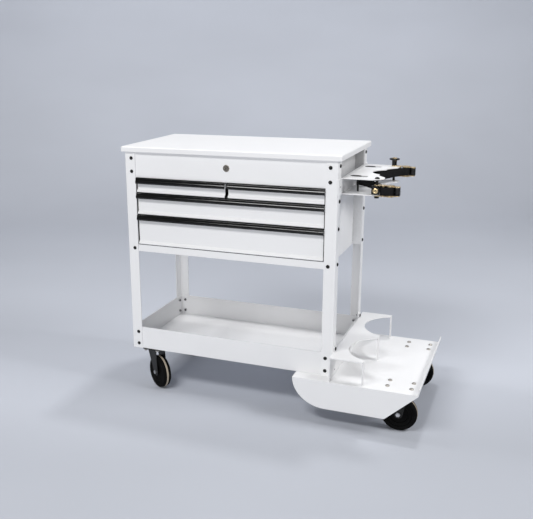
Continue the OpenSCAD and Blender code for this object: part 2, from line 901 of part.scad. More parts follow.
// tip of a flange on the side s, from its end to its inner corner
function tongue_half(s) = [
  [cx1 - tongue_back, s * ub],
  [cx1 + tongue_tip, s * (ub - tongue_tips[0])],
  [cx1 + tongue_tip - tongue_step, s * (ub - tongue_tips[1])],
  [cx1 - tongue_back, s * (ub - tongue_tips[2])]];

// outline of the top and bottom plates of the upper bracket
module tongue_outline() {
  difference() {
    polygon(concat([[xr, -ub]], tongue_half(-1), [for (i = [3 : -1 : 0]) tongue_half(1)[i]], [[xr, ub]]));
    translate([cx1 + scallop_out, 0]) circle(r = scallop_r, $fn = 96);
  }
}

module upper_bracket() {
  color("white") difference() {
    union() {
      translate([xr, yf + ear_edge, uz0]) cube([plate_t, post_span_y - 2 * ear_edge, bracket_h]);
      translate([0, 0, uz1 - plate_t]) linear_extrude(height = plate_t) tongue_outline();
      translate([0, 0, uz0]) linear_extrude(height = plate_t) tongue_outline();
    }
    for (y = anchor_ys) {
      loop_y = y - sign(y) * loop_dy;
      translate([anchor_x, y, uz1]) bolt_hole(anchor_d + 2 * fit, bracket_h);
      translate([loop_x, loop_y, uz0 + plate_t]) bolt_hole(loop_d + 2 * fit, plate_t);
      translate([xr + slot_x, loop_y, uz1 - plate_t - over]) rounded_slot(slot_l, slot_w, plate_t + 2 * over);
    }
    frame_bolt_holes();
  }
}

// slot with round corners, its left end at x zero and its middle at y zero
module rounded_slot(l, w, h) {
  linear_extrude(height = h) offset(r = slot_r)
    translate([slot_r, slot_r - w / 2]) square([l - 2 * slot_r, w - 2 * slot_r]);
}

// places its children at the studs of the swivel casters, welded below the shelf
module each_swivel_stud() {
  for (y = sw_ys) {
    for (i = [-1, 1]) {
      for (j = [-1, 1]) {
        translate([sw_x + i * cb_w, y + j * cb_l, z0]) children();
      }
    }
  }
}

// places its children at the bolts of the rigid casters, heads on the platform
module each_rigid_bolt() {
  for (y = rg_ys) {
    for (i = [-1, 1]) {
      for (j = [-1, 1]) {
        translate([rg_x + i * cb_l, y + j * cb_w, z0]) children();
      }
    }
  }
}

// frame bolts in three lengths, and the studs that hold the platform
module frame_bolts() {
  color("black") {
    each_frame_bolt() button_bolt(bolt_d, bolt_head_d, bolt_head_h, bolt_stack + nut_h + nut_over);
    each_support_bolt() button_bolt(bolt_d, bolt_head_d, bolt_head_h, plate_t + bolt_stack);
    each_ear_bolt() button_bolt(bolt_d, bolt_head_d, bolt_head_h, plate_t + ft + nut_h + nut_over);
    each_platform_stud() stud(bolt_d, plate_t + nut_h + nut_over);
  }
}

module frame_nuts() {
  color("silver") {
    each_frame_bolt() translate([0, 0, -bolt_stack]) hex_nut(bolt_d, nut_w, nut_h);
    each_ear_bolt() translate([0, 0, -plate_t - ft]) hex_nut(bolt_d, nut_w, nut_h);
    each_platform_stud() translate([0, 0, -plate_t]) hex_nut(bolt_d, nut_w, nut_h);
  }
}

// caster bolts with their nuts, the studs of the swivel casters, and the kingpins with their nuts
module caster_bolts() {
  color("silver") {
    each_rigid_bolt() {
      button_bolt(caster_bolt_d, caster_head_d, caster_head_h, plate_t + cp_t + caster_nut_h + nut_over);
      translate([0, 0, -plate_t - cp_t]) hex_nut(caster_bolt_d, caster_nut_w, caster_nut_h);
    }
    each_swivel_stud() {
      stud(caster_bolt_d, cp_t + caster_nut_h + nut_over);
      translate([0, 0, -cp_t]) hex_nut(caster_bolt_d, caster_nut_w, caster_nut_h);
    }
    kingpins();
  }
}

// top plates of the two swivel casters with the fixed race below
module swivel_plates() {
  color("black") difference() {
    for (y = sw_ys) {
      translate([sw_x, y, z0 - cp_t]) caster_plate(cp_py, cp_px);
      translate([sw_x, y, z0 - cp_t - race_h]) cylinder(d1 = race_d * 0.9, d2 = race_d, h = race_h);
    }
    each_swivel_stud() bolt_hole(caster_hole_d, cp_t);
    for (y = sw_ys) {
      translate([sw_x, y, z0]) bolt_hole(king_d + 2 * fit, cp_t + race_h);
    }
  }
}

// plate with round corners, half sizes a and b, standing on the plane z zero
module caster_plate(a, b) {
  linear_extrude(height = cp_t) offset(r = plate_r)
    square([2 * (a - plate_r), 2 * (b - plate_r)], center = true);
}

module kingpins() {
  nut_z = crown_z - run_gap - king_nut_h;
  for (y = sw_ys) {
    translate([sw_x, y, nut_z - nut_over]) cylinder(d = king_d, h = z0 - nut_z + nut_over);
    translate([sw_x, y, nut_z]) cylinder(d = king_nut_w / cos(30), h = king_nut_h, $fn = 6);
  }
}

// one leg of a fork, flat in the plane across y, its axle hole at t along x
module fork_leg(t, top_z, half_top) {
  rotate([90, 0, 0]) linear_extrude(height = fork_t) difference() {
    hull() {
      translate([t, axle_z]) circle(d = fork_w * 0.8);
      translate([-half_top, top_z - fork_w * 0.5]) square([2 * half_top, fork_w * 0.5]);
    }
    translate([t, axle_z]) circle(d = axle_d + 2 * fit);
  }
}

// swivel fork about the origin: crown, two legs, trail along plus x
module swivel_fork() {
  difference() {
    union() {
      translate([0, fork_in + fork_t, 0]) fork_leg(caster_trail, crown_z + crown_t, fork_half);
      translate([0, -fork_in, 0]) fork_leg(caster_trail, crown_z + crown_t, fork_half);
      translate([-fork_half, -fork_in - fork_t, crown_z])
        cube([2 * fork_half, 2 * (fork_in + fork_t), crown_t]);
      translate([0, 0, crown_z]) cylinder(d = race_d, h = crown_t);
    }
    translate([0, 0, crown_z - over]) cylinder(d = king_d + 4 * fit, h = crown_t + 2 * over);
  }
}

// axle bolt along y about the origin
module axle() {
  half = fork_in + fork_t;
  rotate([90, 0, 0]) translate([0, 0, -half]) cylinder(d = axle_d, h = 2 * half);
  rotate([90, 0, 0]) translate([0, 0, half]) cylinder(d = axle_head_w / cos(30), h = axle_head_h, $fn = 6);
  rotate([-90, 0, 0]) translate([0, 0, half]) cylinder(d = axle_head_w / cos(30), h = axle_head_h, $fn = 6);
  rotate([-90, 0, 0]) translate([0, 0, half]) cylinder(d = axle_d, h = axle_head_h + nut_over);
}

// wheel about the origin, axis along y: boss, web, rim and crowned tyre with a band in the middle
module wheel() {
  r = wheel_d / 2;
  w = wheel_w / 2;
  b = fork_in - run_gap;
  bore = axle_d / 2 + 2 * fit;
  half = [for (p = wheel_shares) [r * p[0], -w * p[1]]];
  rotate([90, 0, 0]) rotate_extrude($fn = 96) polygon(concat(
    [[bore, -b], [bore + boss_t, -b], [bore + boss_t, -w * wheel_shares[0][1]]], half,
    [for (i = [len(half) - 1 : -1 : 0]) [half[i][0], -half[i][1]]],
    [[bore + boss_t, w * wheel_shares[0][1]], [bore + boss_t, b], [bore, b]]));
}

// places its children at a swivel caster, turned as it stands
module at_swivel(i) {
  translate([sw_x, sw_ys[i], 0]) rotate([0, 0, sw_turns[i]]) children();
}

module at_swivel_axle(i) {
  at_swivel(i) translate([caster_trail, 0, axle_z]) children();
}

module at_rigid_axle(i) {
  translate([rg_x, rg_ys[i], axle_z]) children();
}

module fork_front_left() {
  color("black") at_swivel(0) swivel_fork();
}

module fork_rear_left() {
  color("black") at_swivel(1) swivel_fork();
}

module axle_front_left() {
  color("silver") at_swivel_axle(0) axle();
}

module axle_rear_left() {
  color("silver") at_swivel_axle(1) axle();
}

module wheel_front_left() {
  color("black") at_swivel_axle(0) wheel();
}

module wheel_rear_left() {
  color("black") at_swivel_axle(1) wheel();
}

module wheel_front_right() {
  color("black") at_rigid_axle(0) wheel();
}

module wheel_rear_right() {
  color("black") at_rigid_axle(1) wheel();
}

module rigid_forks() {
  color("black") difference() {
    for (y = rg_ys) {
      translate([rg_x, y, pz0 - cp_t]) caster_plate(cp_px, cp_py);
      translate([rg_x, y + fork_in + fork_t, 0]) fork_leg(0, pz0 - cp_t * half_share, fork_half);
      translate([rg_x, y - fork_in, 0]) fork_leg(0, pz0 - cp_t * half_share, fork_half);
    }
    each_rigid_bolt() bolt_hole(caster_hole_d, plate_t + cp_t);
  }
}

module rigid_axles() {
  color("silver") for (i = [0, 1]) {
    at_rigid_axle(i) axle();
  }
}

// straps: a ratchet is drawn about its anchor bolt, reach along plus x, lower plate at z zero

// turns its children from the near place to the far place: half a turn about the length
module at_far() {
  translate([0, 0, mid_z]) rotate([180, 0, 0]) translate([0, 0, -mid_z]) children();
}

module at_near_anchor() {
  translate([anchor_x, anchor_ys[0], rat_z]) children();
}

module at_far_anchor() {
  at_far() translate([anchor_x, -anchor_ys[1], rat_z]) children();
}

// outline of a ratchet side plate: eye, waist and lobes
module rat_outline() {
  difference() {
    union() {
      circle(d = rat_w * 0.7);
      translate([0, -rat_w * 0.28]) square([spool_x, rat_w * 0.56]);
      translate([rod_x, 0]) circle(d = rat_w * 0.86);
      translate([spool_x, 0]) circle(d = rat_w * 1.05);
    }
    circle(d = anchor_d + 2 * fit);
  }
}

// ratchet frame: two side plates joined by a rod and the spool shaft
module ratchet_frame() {
  linear_extrude(height = rat_t) rat_outline();
  translate([0, 0, rat_t + rat_in]) linear_extrude(height = rat_t) rat_outline();
  translate([rod_x, 0, rat_t * half_share]) cylinder(d = rod_d, h = rat_in + rat_t);
  translate([spool_x, 0, rat_t * half_share]) cylinder(d = shaft_d, h = rat_in + rat_t);
}

// ratchet handle: two arms between the side plates and a grip at their ends
module handle_arm() {
  linear_extrude(height = rat_t) difference() {
    union() {
      circle(d = rat_w * 0.9);
      translate([0, -rat_w * 0.3]) square([handle_reach - grip_l, rat_w * 0.6]);
      translate([handle_reach - rat_w * 0.4, 0]) circle(d = rat_w * 0.8);
    }
    circle(d = shaft_d + 4 * fit);
  }
}

module ratchet_handle() {
  arm_z = rat_in - 2 * run_gap - rat_t;
  grip_w = rat_w * 0.72;
  translate([spool_x, 0, rat_t + run_gap]) {
    handle_arm();
    translate([0, 0, arm_z]) handle_arm();
    translate([handle_reach - grip_l, 0, rat_t * half_share]) linear_extrude(height = arm_z)
      offset(r = grip_r) translate([grip_r, grip_r - grip_w / 2])
        square([grip_l - 2 * grip_r, grip_w - 2 * grip_r]);
  }
}

// hand knob about its own axis: stem from the origin up, broad flange and cap
module hand_knob(w, len, bore, bore_len) {
  difference() {
    rotate_extrude() polygon(concat(
      [[0, 0], [stem_d / 2, 0], [stem_d / 2, len * 0.75], [stem_d * 0.62, len]],
      [for (p = knob_shares) [w * p[0], len + knob_t * p[1]]],
      [[cap_d / 2, len + knob_t], [cap_d * 0.4, len + knob_t + cap_t], [0, len + knob_t + cap_t]]));
    translate([0, 0, -over]) cylinder(d = bore, h = bore_len + over);
  }
}

// black block on the near anchor bolt that carries the near knob on a stud
module near_block() {
  difference() {
    translate([-block_left, -block_y, block_z]) cube([block_left + block_right, 2 * block_y, block_h]);
    translate([0, 0, block_z - over]) cylinder(d = anchor_d + 2 * fit, h = block_h + 2 * over);
  }
  translate([0, -block_y + over, block_mid]) rotate([90, 0, 0]) cylinder(d = stud_d, h = near_stud_l + over);
}

module near_ratchet_frame() {
  color("gold") at_near_anchor() ratchet_frame();
}

module near_knob_block() {
  color("black") at_near_anchor() near_block();
}

module far_ratchet_frame() {
  color("gold") at_far_anchor() ratchet_frame();
}

module near_ratchet_handle() {
  color("gold") at_near_anchor() ratchet_handle();
}

module far_ratchet_handle() {
  color("gold") at_far_anchor() ratchet_handle();
}

module near_tension_knob() {
  color("black") at_near_anchor() translate([0, -block_y - run_gap, block_mid]) rotate([90, 0, 0])
    hand_knob(near_knob_d, near_stem, stud_d + 4 * fit, near_stud_l + run_gap);
}

module far_tension_knob() {
  color("black") translate([anchor_x, anchor_ys[1], far_knob_z])
    hand_knob(knob_d, far_stem, anchor_d + 4 * fit, stud_l);
}

// bolts that hold the ratchets and the pins that the webbing loops around
module strap_anchor_bolts() {
  grip_len = bracket_h + rat_t + 2 * run_gap;
  color("gold") {
    translate([anchor_x, anchor_ys[0], uz1])
      button_bolt(anchor_d, anchor_head_d, anchor_head_h, grip_len + anchor_nut_h);
    translate([anchor_x, anchor_ys[0], rat_z - run_gap]) hex_nut(anchor_d - 4 * fit, anchor_nut_w, anchor_nut_h);
    translate([anchor_x, anchor_ys[1], uz0]) mirror([0, 0, 1])
      button_bolt(anchor_d, anchor_head_d, anchor_head_h, grip_len + stud_l - over);
    for (y = anchor_ys) {
      translate([loop_x, y - sign(y) * loop_dy, uz0 - loop_head_h]) {
        cylinder(d = loop_d, h = loop_head_h + bracket_h - plate_t - web_gap);
        cylinder(d = loop_head_d, h = loop_head_h);
      }
    }
  }
}

// point of the wound webbing after t turns, at a distance off its inner face
function coil_at(t, off) =
  let (r = shaft_d / 2 + fit + coil_pitch * t + off) [r * cos(360 * t), r * sin(360 * t)];

// outer and inner points of the winding, and its least gap to itself from turn to turn
coil_ts = [for (i = [0 : coil_turns * coil_steps]) start_share + i / coil_steps];
coil_out = [for (t = coil_ts) coil_at(t, web_t)];
coil_in = [for (t = coil_ts) coil_at(t, 0)];
coil_least = min([
  for (i = [0 : len(coil_ts) - 1], j = [i + coil_steps / 2 : len(coil_ts) - 1]) norm(coil_out[i] - coil_in[j])]);
echo(least_gap_of_strap_winding = coil_least);

// webbing of one strap, in the frame of the near ratchet: eye round the pin, run to the spool, and winding
module webbing(zl) {
  px = loop_x - anchor_x;
  py = loop_dy;
  zw = rat_t + run_gap + rat_t + run_gap + coil_gap;
  end_r = shaft_d / 2 + fit + coil_pitch * (coil_turns + start_share);
  translate([spool_x, 0, zw]) linear_extrude(height = web_w)
    polygon(concat(coil_in, [for (i = [len(coil_ts) - 1 : -1 : 0]) coil_out[i]]));
  difference() {
    translate([px, py, zl]) cylinder(d = loop_d + 2 * (fit + web_t), h = web_w);
    translate([px, py, zl - over]) cylinder(d = loop_d + 2 * fit, h = web_w + 2 * over);
  }
  hull() {
    translate([px, py + loop_d / 2 + fit, zl]) cube([web_t, web_t, web_w]);
    translate([spool_x, end_r, zw]) cube([web_t * half_share, web_t, web_w]);
  }
}

module near_strap_webbing() {
  color("black") at_near_anchor() webbing(uz1 - plate_t - web_gap - web_w - rat_z);
}

module far_strap_webbing() {
  color("black") at_far_anchor() webbing(mid_z - rat_z - web_w / 2);
}

post_front_left();
post_front_right();
post_rear_left();
post_rear_right();
shelf_tray();
chest_side_left();
chest_side_right();
chest_back();
chest_floor();
chest_front_rail();
chest_front_panel();
top_compartment_floor();
drawer_divider();
slide_rails();
hinge_frame_leaves();
hinge_pins();
lock_barrel();
cylinder_platform();
lower_cradle();
upper_bracket();
frame_bolts();
frame_nuts();
caster_bolts();
swivel_plates();
rigid_forks();
rigid_axles();
strap_anchor_bolts();
lid_panel();
lid_hinge_leaves();
lid_catch();
lock_plug();
drawer_small_left_body();
drawer_small_left_pull();
drawer_small_left_runners();
drawer_small_right_body();
drawer_small_right_pull();
drawer_small_right_runners();
drawer_medium_body();
drawer_medium_pull();
drawer_medium_runners();
drawer_deep_body();
drawer_deep_pull();
drawer_deep_runners();
fork_front_left();
axle_front_left();
fork_rear_left();
axle_rear_left();
wheel_front_left();
wheel_rear_left();
wheel_front_right();
wheel_rear_right();
near_ratchet_frame();
near_knob_block();
near_ratchet_handle();
near_tension_knob();
near_strap_webbing();
far_ratchet_frame();
far_ratchet_handle();
far_tension_knob();
far_strap_webbing();
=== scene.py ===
"""Looks of the welding cart: materials, stage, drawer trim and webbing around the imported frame."""

import json
import math

import bmesh
import bpy
from mathutils import Matrix, Vector


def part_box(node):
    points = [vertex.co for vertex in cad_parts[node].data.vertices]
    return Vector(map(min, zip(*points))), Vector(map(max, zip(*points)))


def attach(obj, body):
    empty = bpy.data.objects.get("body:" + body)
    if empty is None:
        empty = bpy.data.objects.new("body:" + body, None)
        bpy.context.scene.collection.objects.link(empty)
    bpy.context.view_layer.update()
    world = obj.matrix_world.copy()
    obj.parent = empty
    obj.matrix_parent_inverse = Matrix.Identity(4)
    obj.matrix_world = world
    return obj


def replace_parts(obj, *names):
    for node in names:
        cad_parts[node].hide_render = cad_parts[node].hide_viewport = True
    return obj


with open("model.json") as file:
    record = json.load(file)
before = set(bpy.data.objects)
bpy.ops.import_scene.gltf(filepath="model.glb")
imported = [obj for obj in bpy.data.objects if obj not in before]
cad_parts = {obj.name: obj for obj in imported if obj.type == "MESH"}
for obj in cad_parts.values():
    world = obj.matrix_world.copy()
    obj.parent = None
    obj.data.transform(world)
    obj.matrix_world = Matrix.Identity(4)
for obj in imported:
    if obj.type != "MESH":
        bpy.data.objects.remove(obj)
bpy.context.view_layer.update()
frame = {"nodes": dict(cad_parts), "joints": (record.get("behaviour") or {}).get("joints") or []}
NODES = frame["nodes"]
JOINTS = {joint["name"]: joint for joint in frame["joints"]}
MM = 0.001


# node graphs of the materials


class Graph:
    """Builds one procedural material, with its patterns in the object's own coordinates."""

    def __init__(self, name):
        self.mat = bpy.data.materials.new(name)
        self.mat.use_nodes = True
        self.tree = self.mat.node_tree
        self.bsdf = self.tree.nodes["Principled BSDF"]
        self.coords = self.tree.nodes.new("ShaderNodeTexCoord").outputs["Object"]

    def node(self, kind, **props):
        made = self.tree.nodes.new(kind)
        for key, value in props.items():
            setattr(made, key, value)
        return made

    def link(self, source, target):
        self.tree.links.new(source, target)

    def noise(self, scale, detail=3.0, rough=0.55, stretch=(1, 1, 1)):
        mapping = self.node("ShaderNodeMapping")
        mapping.inputs["Scale"].default_value = stretch
        self.link(self.coords, mapping.inputs["Vector"])
        texture = self.node("ShaderNodeTexNoise")
        texture.inputs["Scale"].default_value = scale
        texture.inputs["Detail"].default_value = detail
        texture.inputs["Roughness"].default_value = rough
        self.link(mapping.outputs["Vector"], texture.inputs["Vector"])
        return texture.outputs["Fac"]

    def ramp(self, value, low, high, to_low=0.0, to_high=1.0):
        """Maps value from low..high to to_low..to_high, clamped."""
        span = self.node("ShaderNodeMapRange")
        span.inputs["From Min"].default_value = low
        span.inputs["From Max"].default_value = high
        span.inputs["To Min"].default_value = to_low
        span.inputs["To Max"].default_value = to_high
        self.link(value, span.inputs["Value"])
        return span.outputs["Result"]

    def math(self, operation, *values):
        """One step of arithmetic on sockets and plain numbers."""
        step = self.node("ShaderNodeMath", operation=operation)
        for place, value in enumerate(values):
            if isinstance(value, (int, float)):
                step.inputs[place].default_value = value
            else:
                self.link(value, step.inputs[place])
        return step.outputs[0]

    def mix(self, factor, first, second):
        """Colour first where factor is 0, second where it is 1; each is RGB or a socket."""
        blend = self.node("ShaderNodeMix", data_type="RGBA")
        colours_in = [socket for socket in blend.inputs if socket.type == "RGBA"]
        self.link(factor, blend.inputs["Factor"])
        for socket, value in zip(colours_in, (first, second)):
            if isinstance(value, tuple):
                socket.default_value = (*value, 1)
            else:
                self.link(value, socket)
        return next(socket for socket in blend.outputs if socket.type == "RGBA")

    def edge(self, radius):
        """Rounded-edge normal and a mask that is 1 on sharp edges."""
        bevel = self.node("ShaderNodeBevel", samples=4)
        bevel.inputs["Radius"].default_value = radius
        geometry = self.node("ShaderNodeNewGeometry")
        dot = self.node("ShaderNodeVectorMath", operation="DOT_PRODUCT")
        self.link(bevel.outputs["Normal"], dot.inputs[0])
        self.link(geometry.outputs["Normal"], dot.inputs[1])
        return bevel.outputs["Normal"], self.ramp(dot.outputs["Value"], low=0.995, high=0.82)

    def bump(self, height, strength, distance, normal=None):
        bump = self.node("ShaderNodeBump")
        bump.inputs["Strength"].default_value = strength
        bump.inputs["Distance"].default_value = distance
        self.link(height, bump.inputs["Height"])
        if normal is not None:
            self.link(normal, bump.inputs["Normal"])
        self.link(bump.outputs["Normal"], self.bsdf.inputs["Normal"])

    def colour(self, socket):
        self.link(socket, self.bsdf.inputs["Base Color"])

    def roughness(self, socket):
        self.link(socket, self.bsdf.inputs["Roughness"])

    def finish(self, **constants):
        """Sets plain values on the shader and returns the material."""
        for key, value in constants.items():
            self.bsdf.inputs[key.replace("_", " ")].default_value = value
        return self.mat


# kinds of finish: width of the softened edges, depth of the bumps, pitches of the weave, reach of the
# painted shade in hollows

SHEET_EDGE, PLATED_EDGE = 1.2 * MM, 0.4 * MM
PEEL_DEPTH, PLATING_DEPTH, WEAVE_DEPTH = 0.2 * MM, 0.15 * MM, 0.3 * MM
RIB_PITCH, YARN_PITCH = 2.1 * MM, 1.6 * MM
PAINTED_SHADE_REACH = 0.11


def powder_coat(name, colour, dust, peel=0.10, rough=(0.34, 0.46), chip=None, painted_shade=None, shine=0.5):
    """Powder-coated sheet: orange peel, faint uneven tone, soft edges, chips where asked, and painted shade
    that darkens its hollows where asked.
    """
    graph = Graph(name)
    normal, edges = graph.edge(SHEET_EDGE)
    tone = graph.ramp(graph.noise(scale=2.2, detail=4), low=0.35, high=0.7)
    base = graph.mix(tone, colour, dust)
    if painted_shade:
        # painted shade: the colour darkens towards the shade colour in hollows and under overhangs, from
        # ambient occlusion
        hollow = graph.node("ShaderNodeAmbientOcclusion", samples=6, only_local=False)
        hollow.inputs["Distance"].default_value = PAINTED_SHADE_REACH
        base = graph.mix(graph.ramp(hollow.outputs["AO"], low=0.62, high=0.22), base, painted_shade)
    if chip:
        chipped = graph.ramp(graph.noise(scale=60, detail=5, rough=0.7), low=0.52, high=0.62)
        base = graph.mix(graph.math("MULTIPLY", edges, chipped), base, chip)
    graph.colour(base)
    graph.roughness(graph.ramp(graph.noise(scale=14, detail=4), 0.3, 0.7, *rough))
    graph.bump(graph.noise(scale=650, detail=2, rough=0.4), peel, PEEL_DEPTH, normal)
    return graph.finish(Specular_IOR_Level=shine)


def metal(name, colour, dark, rough=(0.22, 0.38), scale=90):
    """Plated metal: fine grain, cloudy plating, brighter edges; scale sets the size of the clouds."""
    grain, fine_grain = scale * 3, scale * 14
    gain, lift = 1.15, 0.03
    graph = Graph(name)
    normal, edges = graph.edge(PLATED_EDGE)
    cloud = graph.ramp(graph.noise(scale, detail=4, rough=0.6), low=0.35, high=0.7)
    base = graph.mix(cloud, colour, dark)
    bright = tuple(min(1.0, channel * gain + lift) for channel in colour)
    graph.colour(graph.mix(graph.math("MULTIPLY", edges, 0.6), base, bright))
    graph.roughness(graph.ramp(graph.noise(grain, detail=3, rough=0.5), 0.3, 0.7, *rough))
    graph.bump(graph.noise(fine_grain, detail=2, rough=0.5), 0.08, PLATING_DEPTH, normal)
    return graph.finish(Metallic=1.0)


def moulded(name, colour, worn, rough=(0.3, 0.45), grain=1400, strength=0.15, edge=0.6 * MM, shine=0.5):
    """Moulded plastic or rubber: fine grain, rubbed lighter edges, faint dust."""
    graph = Graph(name)
    normal, edges = graph.edge(edge)
    dust = graph.ramp(graph.noise(scale=9, detail=5, rough=0.6), 0.45, 0.8, to_high=0.5)
    base = graph.mix(dust, colour, worn)
    rubbed = graph.ramp(graph.noise(scale=120, detail=4), 0.4, 0.65, to_high=0.8)
    graph.colour(graph.mix(graph.math("MULTIPLY", edges, rubbed), base, worn))
    graph.roughness(graph.ramp(graph.noise(scale=30, detail=4), 0.3, 0.7, *rough))
    graph.bump(graph.noise(grain, detail=2, rough=0.5), strength, PEEL_DEPTH, normal)
    return graph.finish(Specular_IOR_Level=shine)


def weave(name, colour, light):
    """Polyester webbing: ribs across it and yarns along it, from the piece's own UVs in metres."""
    graph = Graph(name)
    split = graph.node("ShaderNodeSeparateXYZ")
    graph.link(graph.node("ShaderNodeUVMap", uv_map="ribbon").outputs["UV"], split.inputs["Vector"])
    ribs = graph.math("SINE", graph.math("MULTIPLY", split.outputs["X"], 2 * math.pi / RIB_PITCH))
    yarns = graph.math("SINE", graph.math("MULTIPLY", split.outputs["Y"], 2 * math.pi / YARN_PITCH))
    crossing = graph.math("MULTIPLY", graph.math("MULTIPLY", ribs, yarns), 0.5)
    height = graph.math("ADD", crossing, graph.noise(scale=900, detail=2, rough=0.5))
    graph.colour(graph.mix(graph.ramp(height, low=0.2, high=1.1), colour, light))
    graph.roughness(graph.ramp(graph.noise(scale=200, detail=3), 0.3, 0.7, 0.62, 0.8))
    graph.bump(height, 0.5, WEAVE_DEPTH)
    return graph.finish(Specular_IOR_Level=0.15)


# the cart's materials

white = powder_coat("powder_white", (0.88, 0.88, 0.885), (0.85, 0.85, 0.857))
# painted shade: a slightly darker copy of the white, darkened further in its hollows, for the chest's side
# walls
white_painted_shade = powder_coat("powder_white_painted_shade", (0.86, 0.86, 0.865), (0.82, 0.82, 0.828),
                           painted_shade=(0.30, 0.30, 0.305))
white_inside = powder_coat("powder_white_inside", (0.87, 0.87, 0.876), (0.82, 0.82, 0.828), peel=0.14,
                           rough=(0.28, 0.40))
gloss_black = moulded("pull_gloss_black", (0.003, 0.003, 0.003), (0.007, 0.007, 0.007), rough=(0.12, 0.18),
                      grain=700, strength=0.02)
# painted shadow: matte near-black for the strips that stand in for the shade in narrow gaps
shadow_black = moulded("gap_shadow_strip_black", (0.0012, 0.0012, 0.0012), (0.003, 0.003, 0.003), rough=(0.85, 0.95),
                    shine=0.05)
satin_black = powder_coat("caster_black", (0.008, 0.008, 0.008), (0.016, 0.016, 0.016), peel=0.2,
                          rough=(0.36, 0.5), chip=(0.10, 0.095, 0.09), shine=0.3)
rubber = moulded("wheel_rubber", (0.005, 0.005, 0.005), (0.014, 0.014, 0.013), rough=(0.6, 0.75), grain=900,
                 strength=0.3, shine=0.05)
tan_tread = moulded("tread_tan", (0.42, 0.36, 0.28), (0.24, 0.20, 0.16), rough=(0.6, 0.75), grain=500,
                    strength=0.3)
bolt_black = moulded("bolt_black", (0.003, 0.003, 0.003), (0.009, 0.009, 0.009), rough=(0.34, 0.5),
                     grain=500, strength=0.1, edge=0.3 * MM, shine=0.3)
zinc = metal("zinc_bright", (0.62, 0.62, 0.63), (0.45, 0.45, 0.46))
caster_bolt = metal("caster_bolt_bronze", (0.55, 0.52, 0.48), (0.36, 0.34, 0.31), rough=(0.3, 0.45),
                    scale=240)
nickel = metal("lock_nickel", (0.66, 0.60, 0.52), (0.40, 0.36, 0.30), rough=(0.14, 0.26), scale=260)
yellow_zinc = metal("yellow_zinc", (0.95, 0.75, 0.44), (0.70, 0.52, 0.28), rough=(0.20, 0.34), scale=160)
knob_black = moulded("knob_black", (0.003, 0.003, 0.003), (0.010, 0.010, 0.009), rough=(0.24, 0.36),
                     shine=0.35)
handle_black = moulded("ratchet_black", (0.003, 0.003, 0.003), (0.014, 0.013, 0.012), rough=(0.22, 0.34),
                       grain=800, strength=0.2, shine=0.4)
web_black = weave("webbing_black", (0.004, 0.004, 0.004), (0.014, 0.014, 0.015))

LOOKS = {
    "frame_bolts": bolt_black, "frame_nuts": zinc, "caster_bolts": caster_bolt, "swivel_plates": satin_black,
    "rigid_forks": satin_black, "fork_front_left": satin_black, "fork_rear_left": satin_black,
    "rigid_axles": zinc, "axle_front_left": zinc, "axle_rear_left": zinc, "slide_rails": zinc,
    "hinge_frame_leaves": zinc, "hinge_pins": zinc, "lid_hinge_leaves": zinc, "lid_catch": zinc,
    "lock_barrel": nickel, "lock_plug": nickel, "strap_anchor_bolts": bolt_black,
    "near_ratchet_frame": yellow_zinc, "far_ratchet_frame": yellow_zinc,
    "near_ratchet_handle": yellow_zinc, "far_ratchet_handle": yellow_zinc,
    "near_tension_knob": knob_black, "far_tension_knob": knob_black, "near_knob_block": knob_black,
    "shelf_tray": white_inside, "chest_side_left": white_painted_shade, "chest_side_right": white_painted_shade,
}
LOOKS_BY_START = {"wheel_": rubber}
LOOKS_BY_END = {"_pull": gloss_black, "_runners": zinc, "_webbing": web_black}


def look_of(name):
    """The finish of a CAD node: its own, its family's, or the white powder coat."""
    if name in LOOKS:
        return LOOKS[name]
    for start, material in LOOKS_BY_START.items():
        if name.startswith(start):
            return material
    for end, material in LOOKS_BY_END.items():
        if name.endswith(end):
            return material
    return white


for node_name, node_object in NODES.items():
    for material_slot in node_object.material_slots:
        material_slot.material = look_of(node_name)

# floor and backdrop

PAPER = (0.62, 0.648, 0.715)
# tone of the paper by length along the sweep in metres, from the camera's side to the backdrop's top; its
# lighter and darker bands are painted light and shade on the paper's even colour
TONES = [(-3.0, 0.66), (-0.6, 0.71), (0.2, 0.94), (0.95, 0.90), (1.75, 0.92), (2.7, 0.96), (4.4, 1.12),
         (7.0, 1.16)]
SWEEP_NEAR, SWEEP_FAR, SWEEP_RADIUS, SWEEP_TOP, SWEEP_HALF_WIDTH = -6.0, 2.6, 1.6, 6.0, 8.0
SWEEP_STEPS = 12
SWEEP_TURN = math.radians(22.9)


def sweep_profile():
    """Points of the sweep as distance back, height and length along it."""
    profile = [(SWEEP_NEAR, 0.0, SWEEP_NEAR), (SWEEP_FAR, 0.0, SWEEP_FAR)]
    for step in range(1, SWEEP_STEPS + 1):
        angle = math.radians(90 * step / SWEEP_STEPS)
        profile.append((SWEEP_FAR + SWEEP_RADIUS * math.sin(angle), SWEEP_RADIUS * (1 - math.cos(angle)),
                        SWEEP_FAR + SWEEP_RADIUS * angle))
    upright = SWEEP_TOP - SWEEP_RADIUS
    profile.append((SWEEP_FAR + SWEEP_RADIUS, SWEEP_TOP, SWEEP_FAR + SWEEP_RADIUS * math.pi / 2 + upright))
    return profile


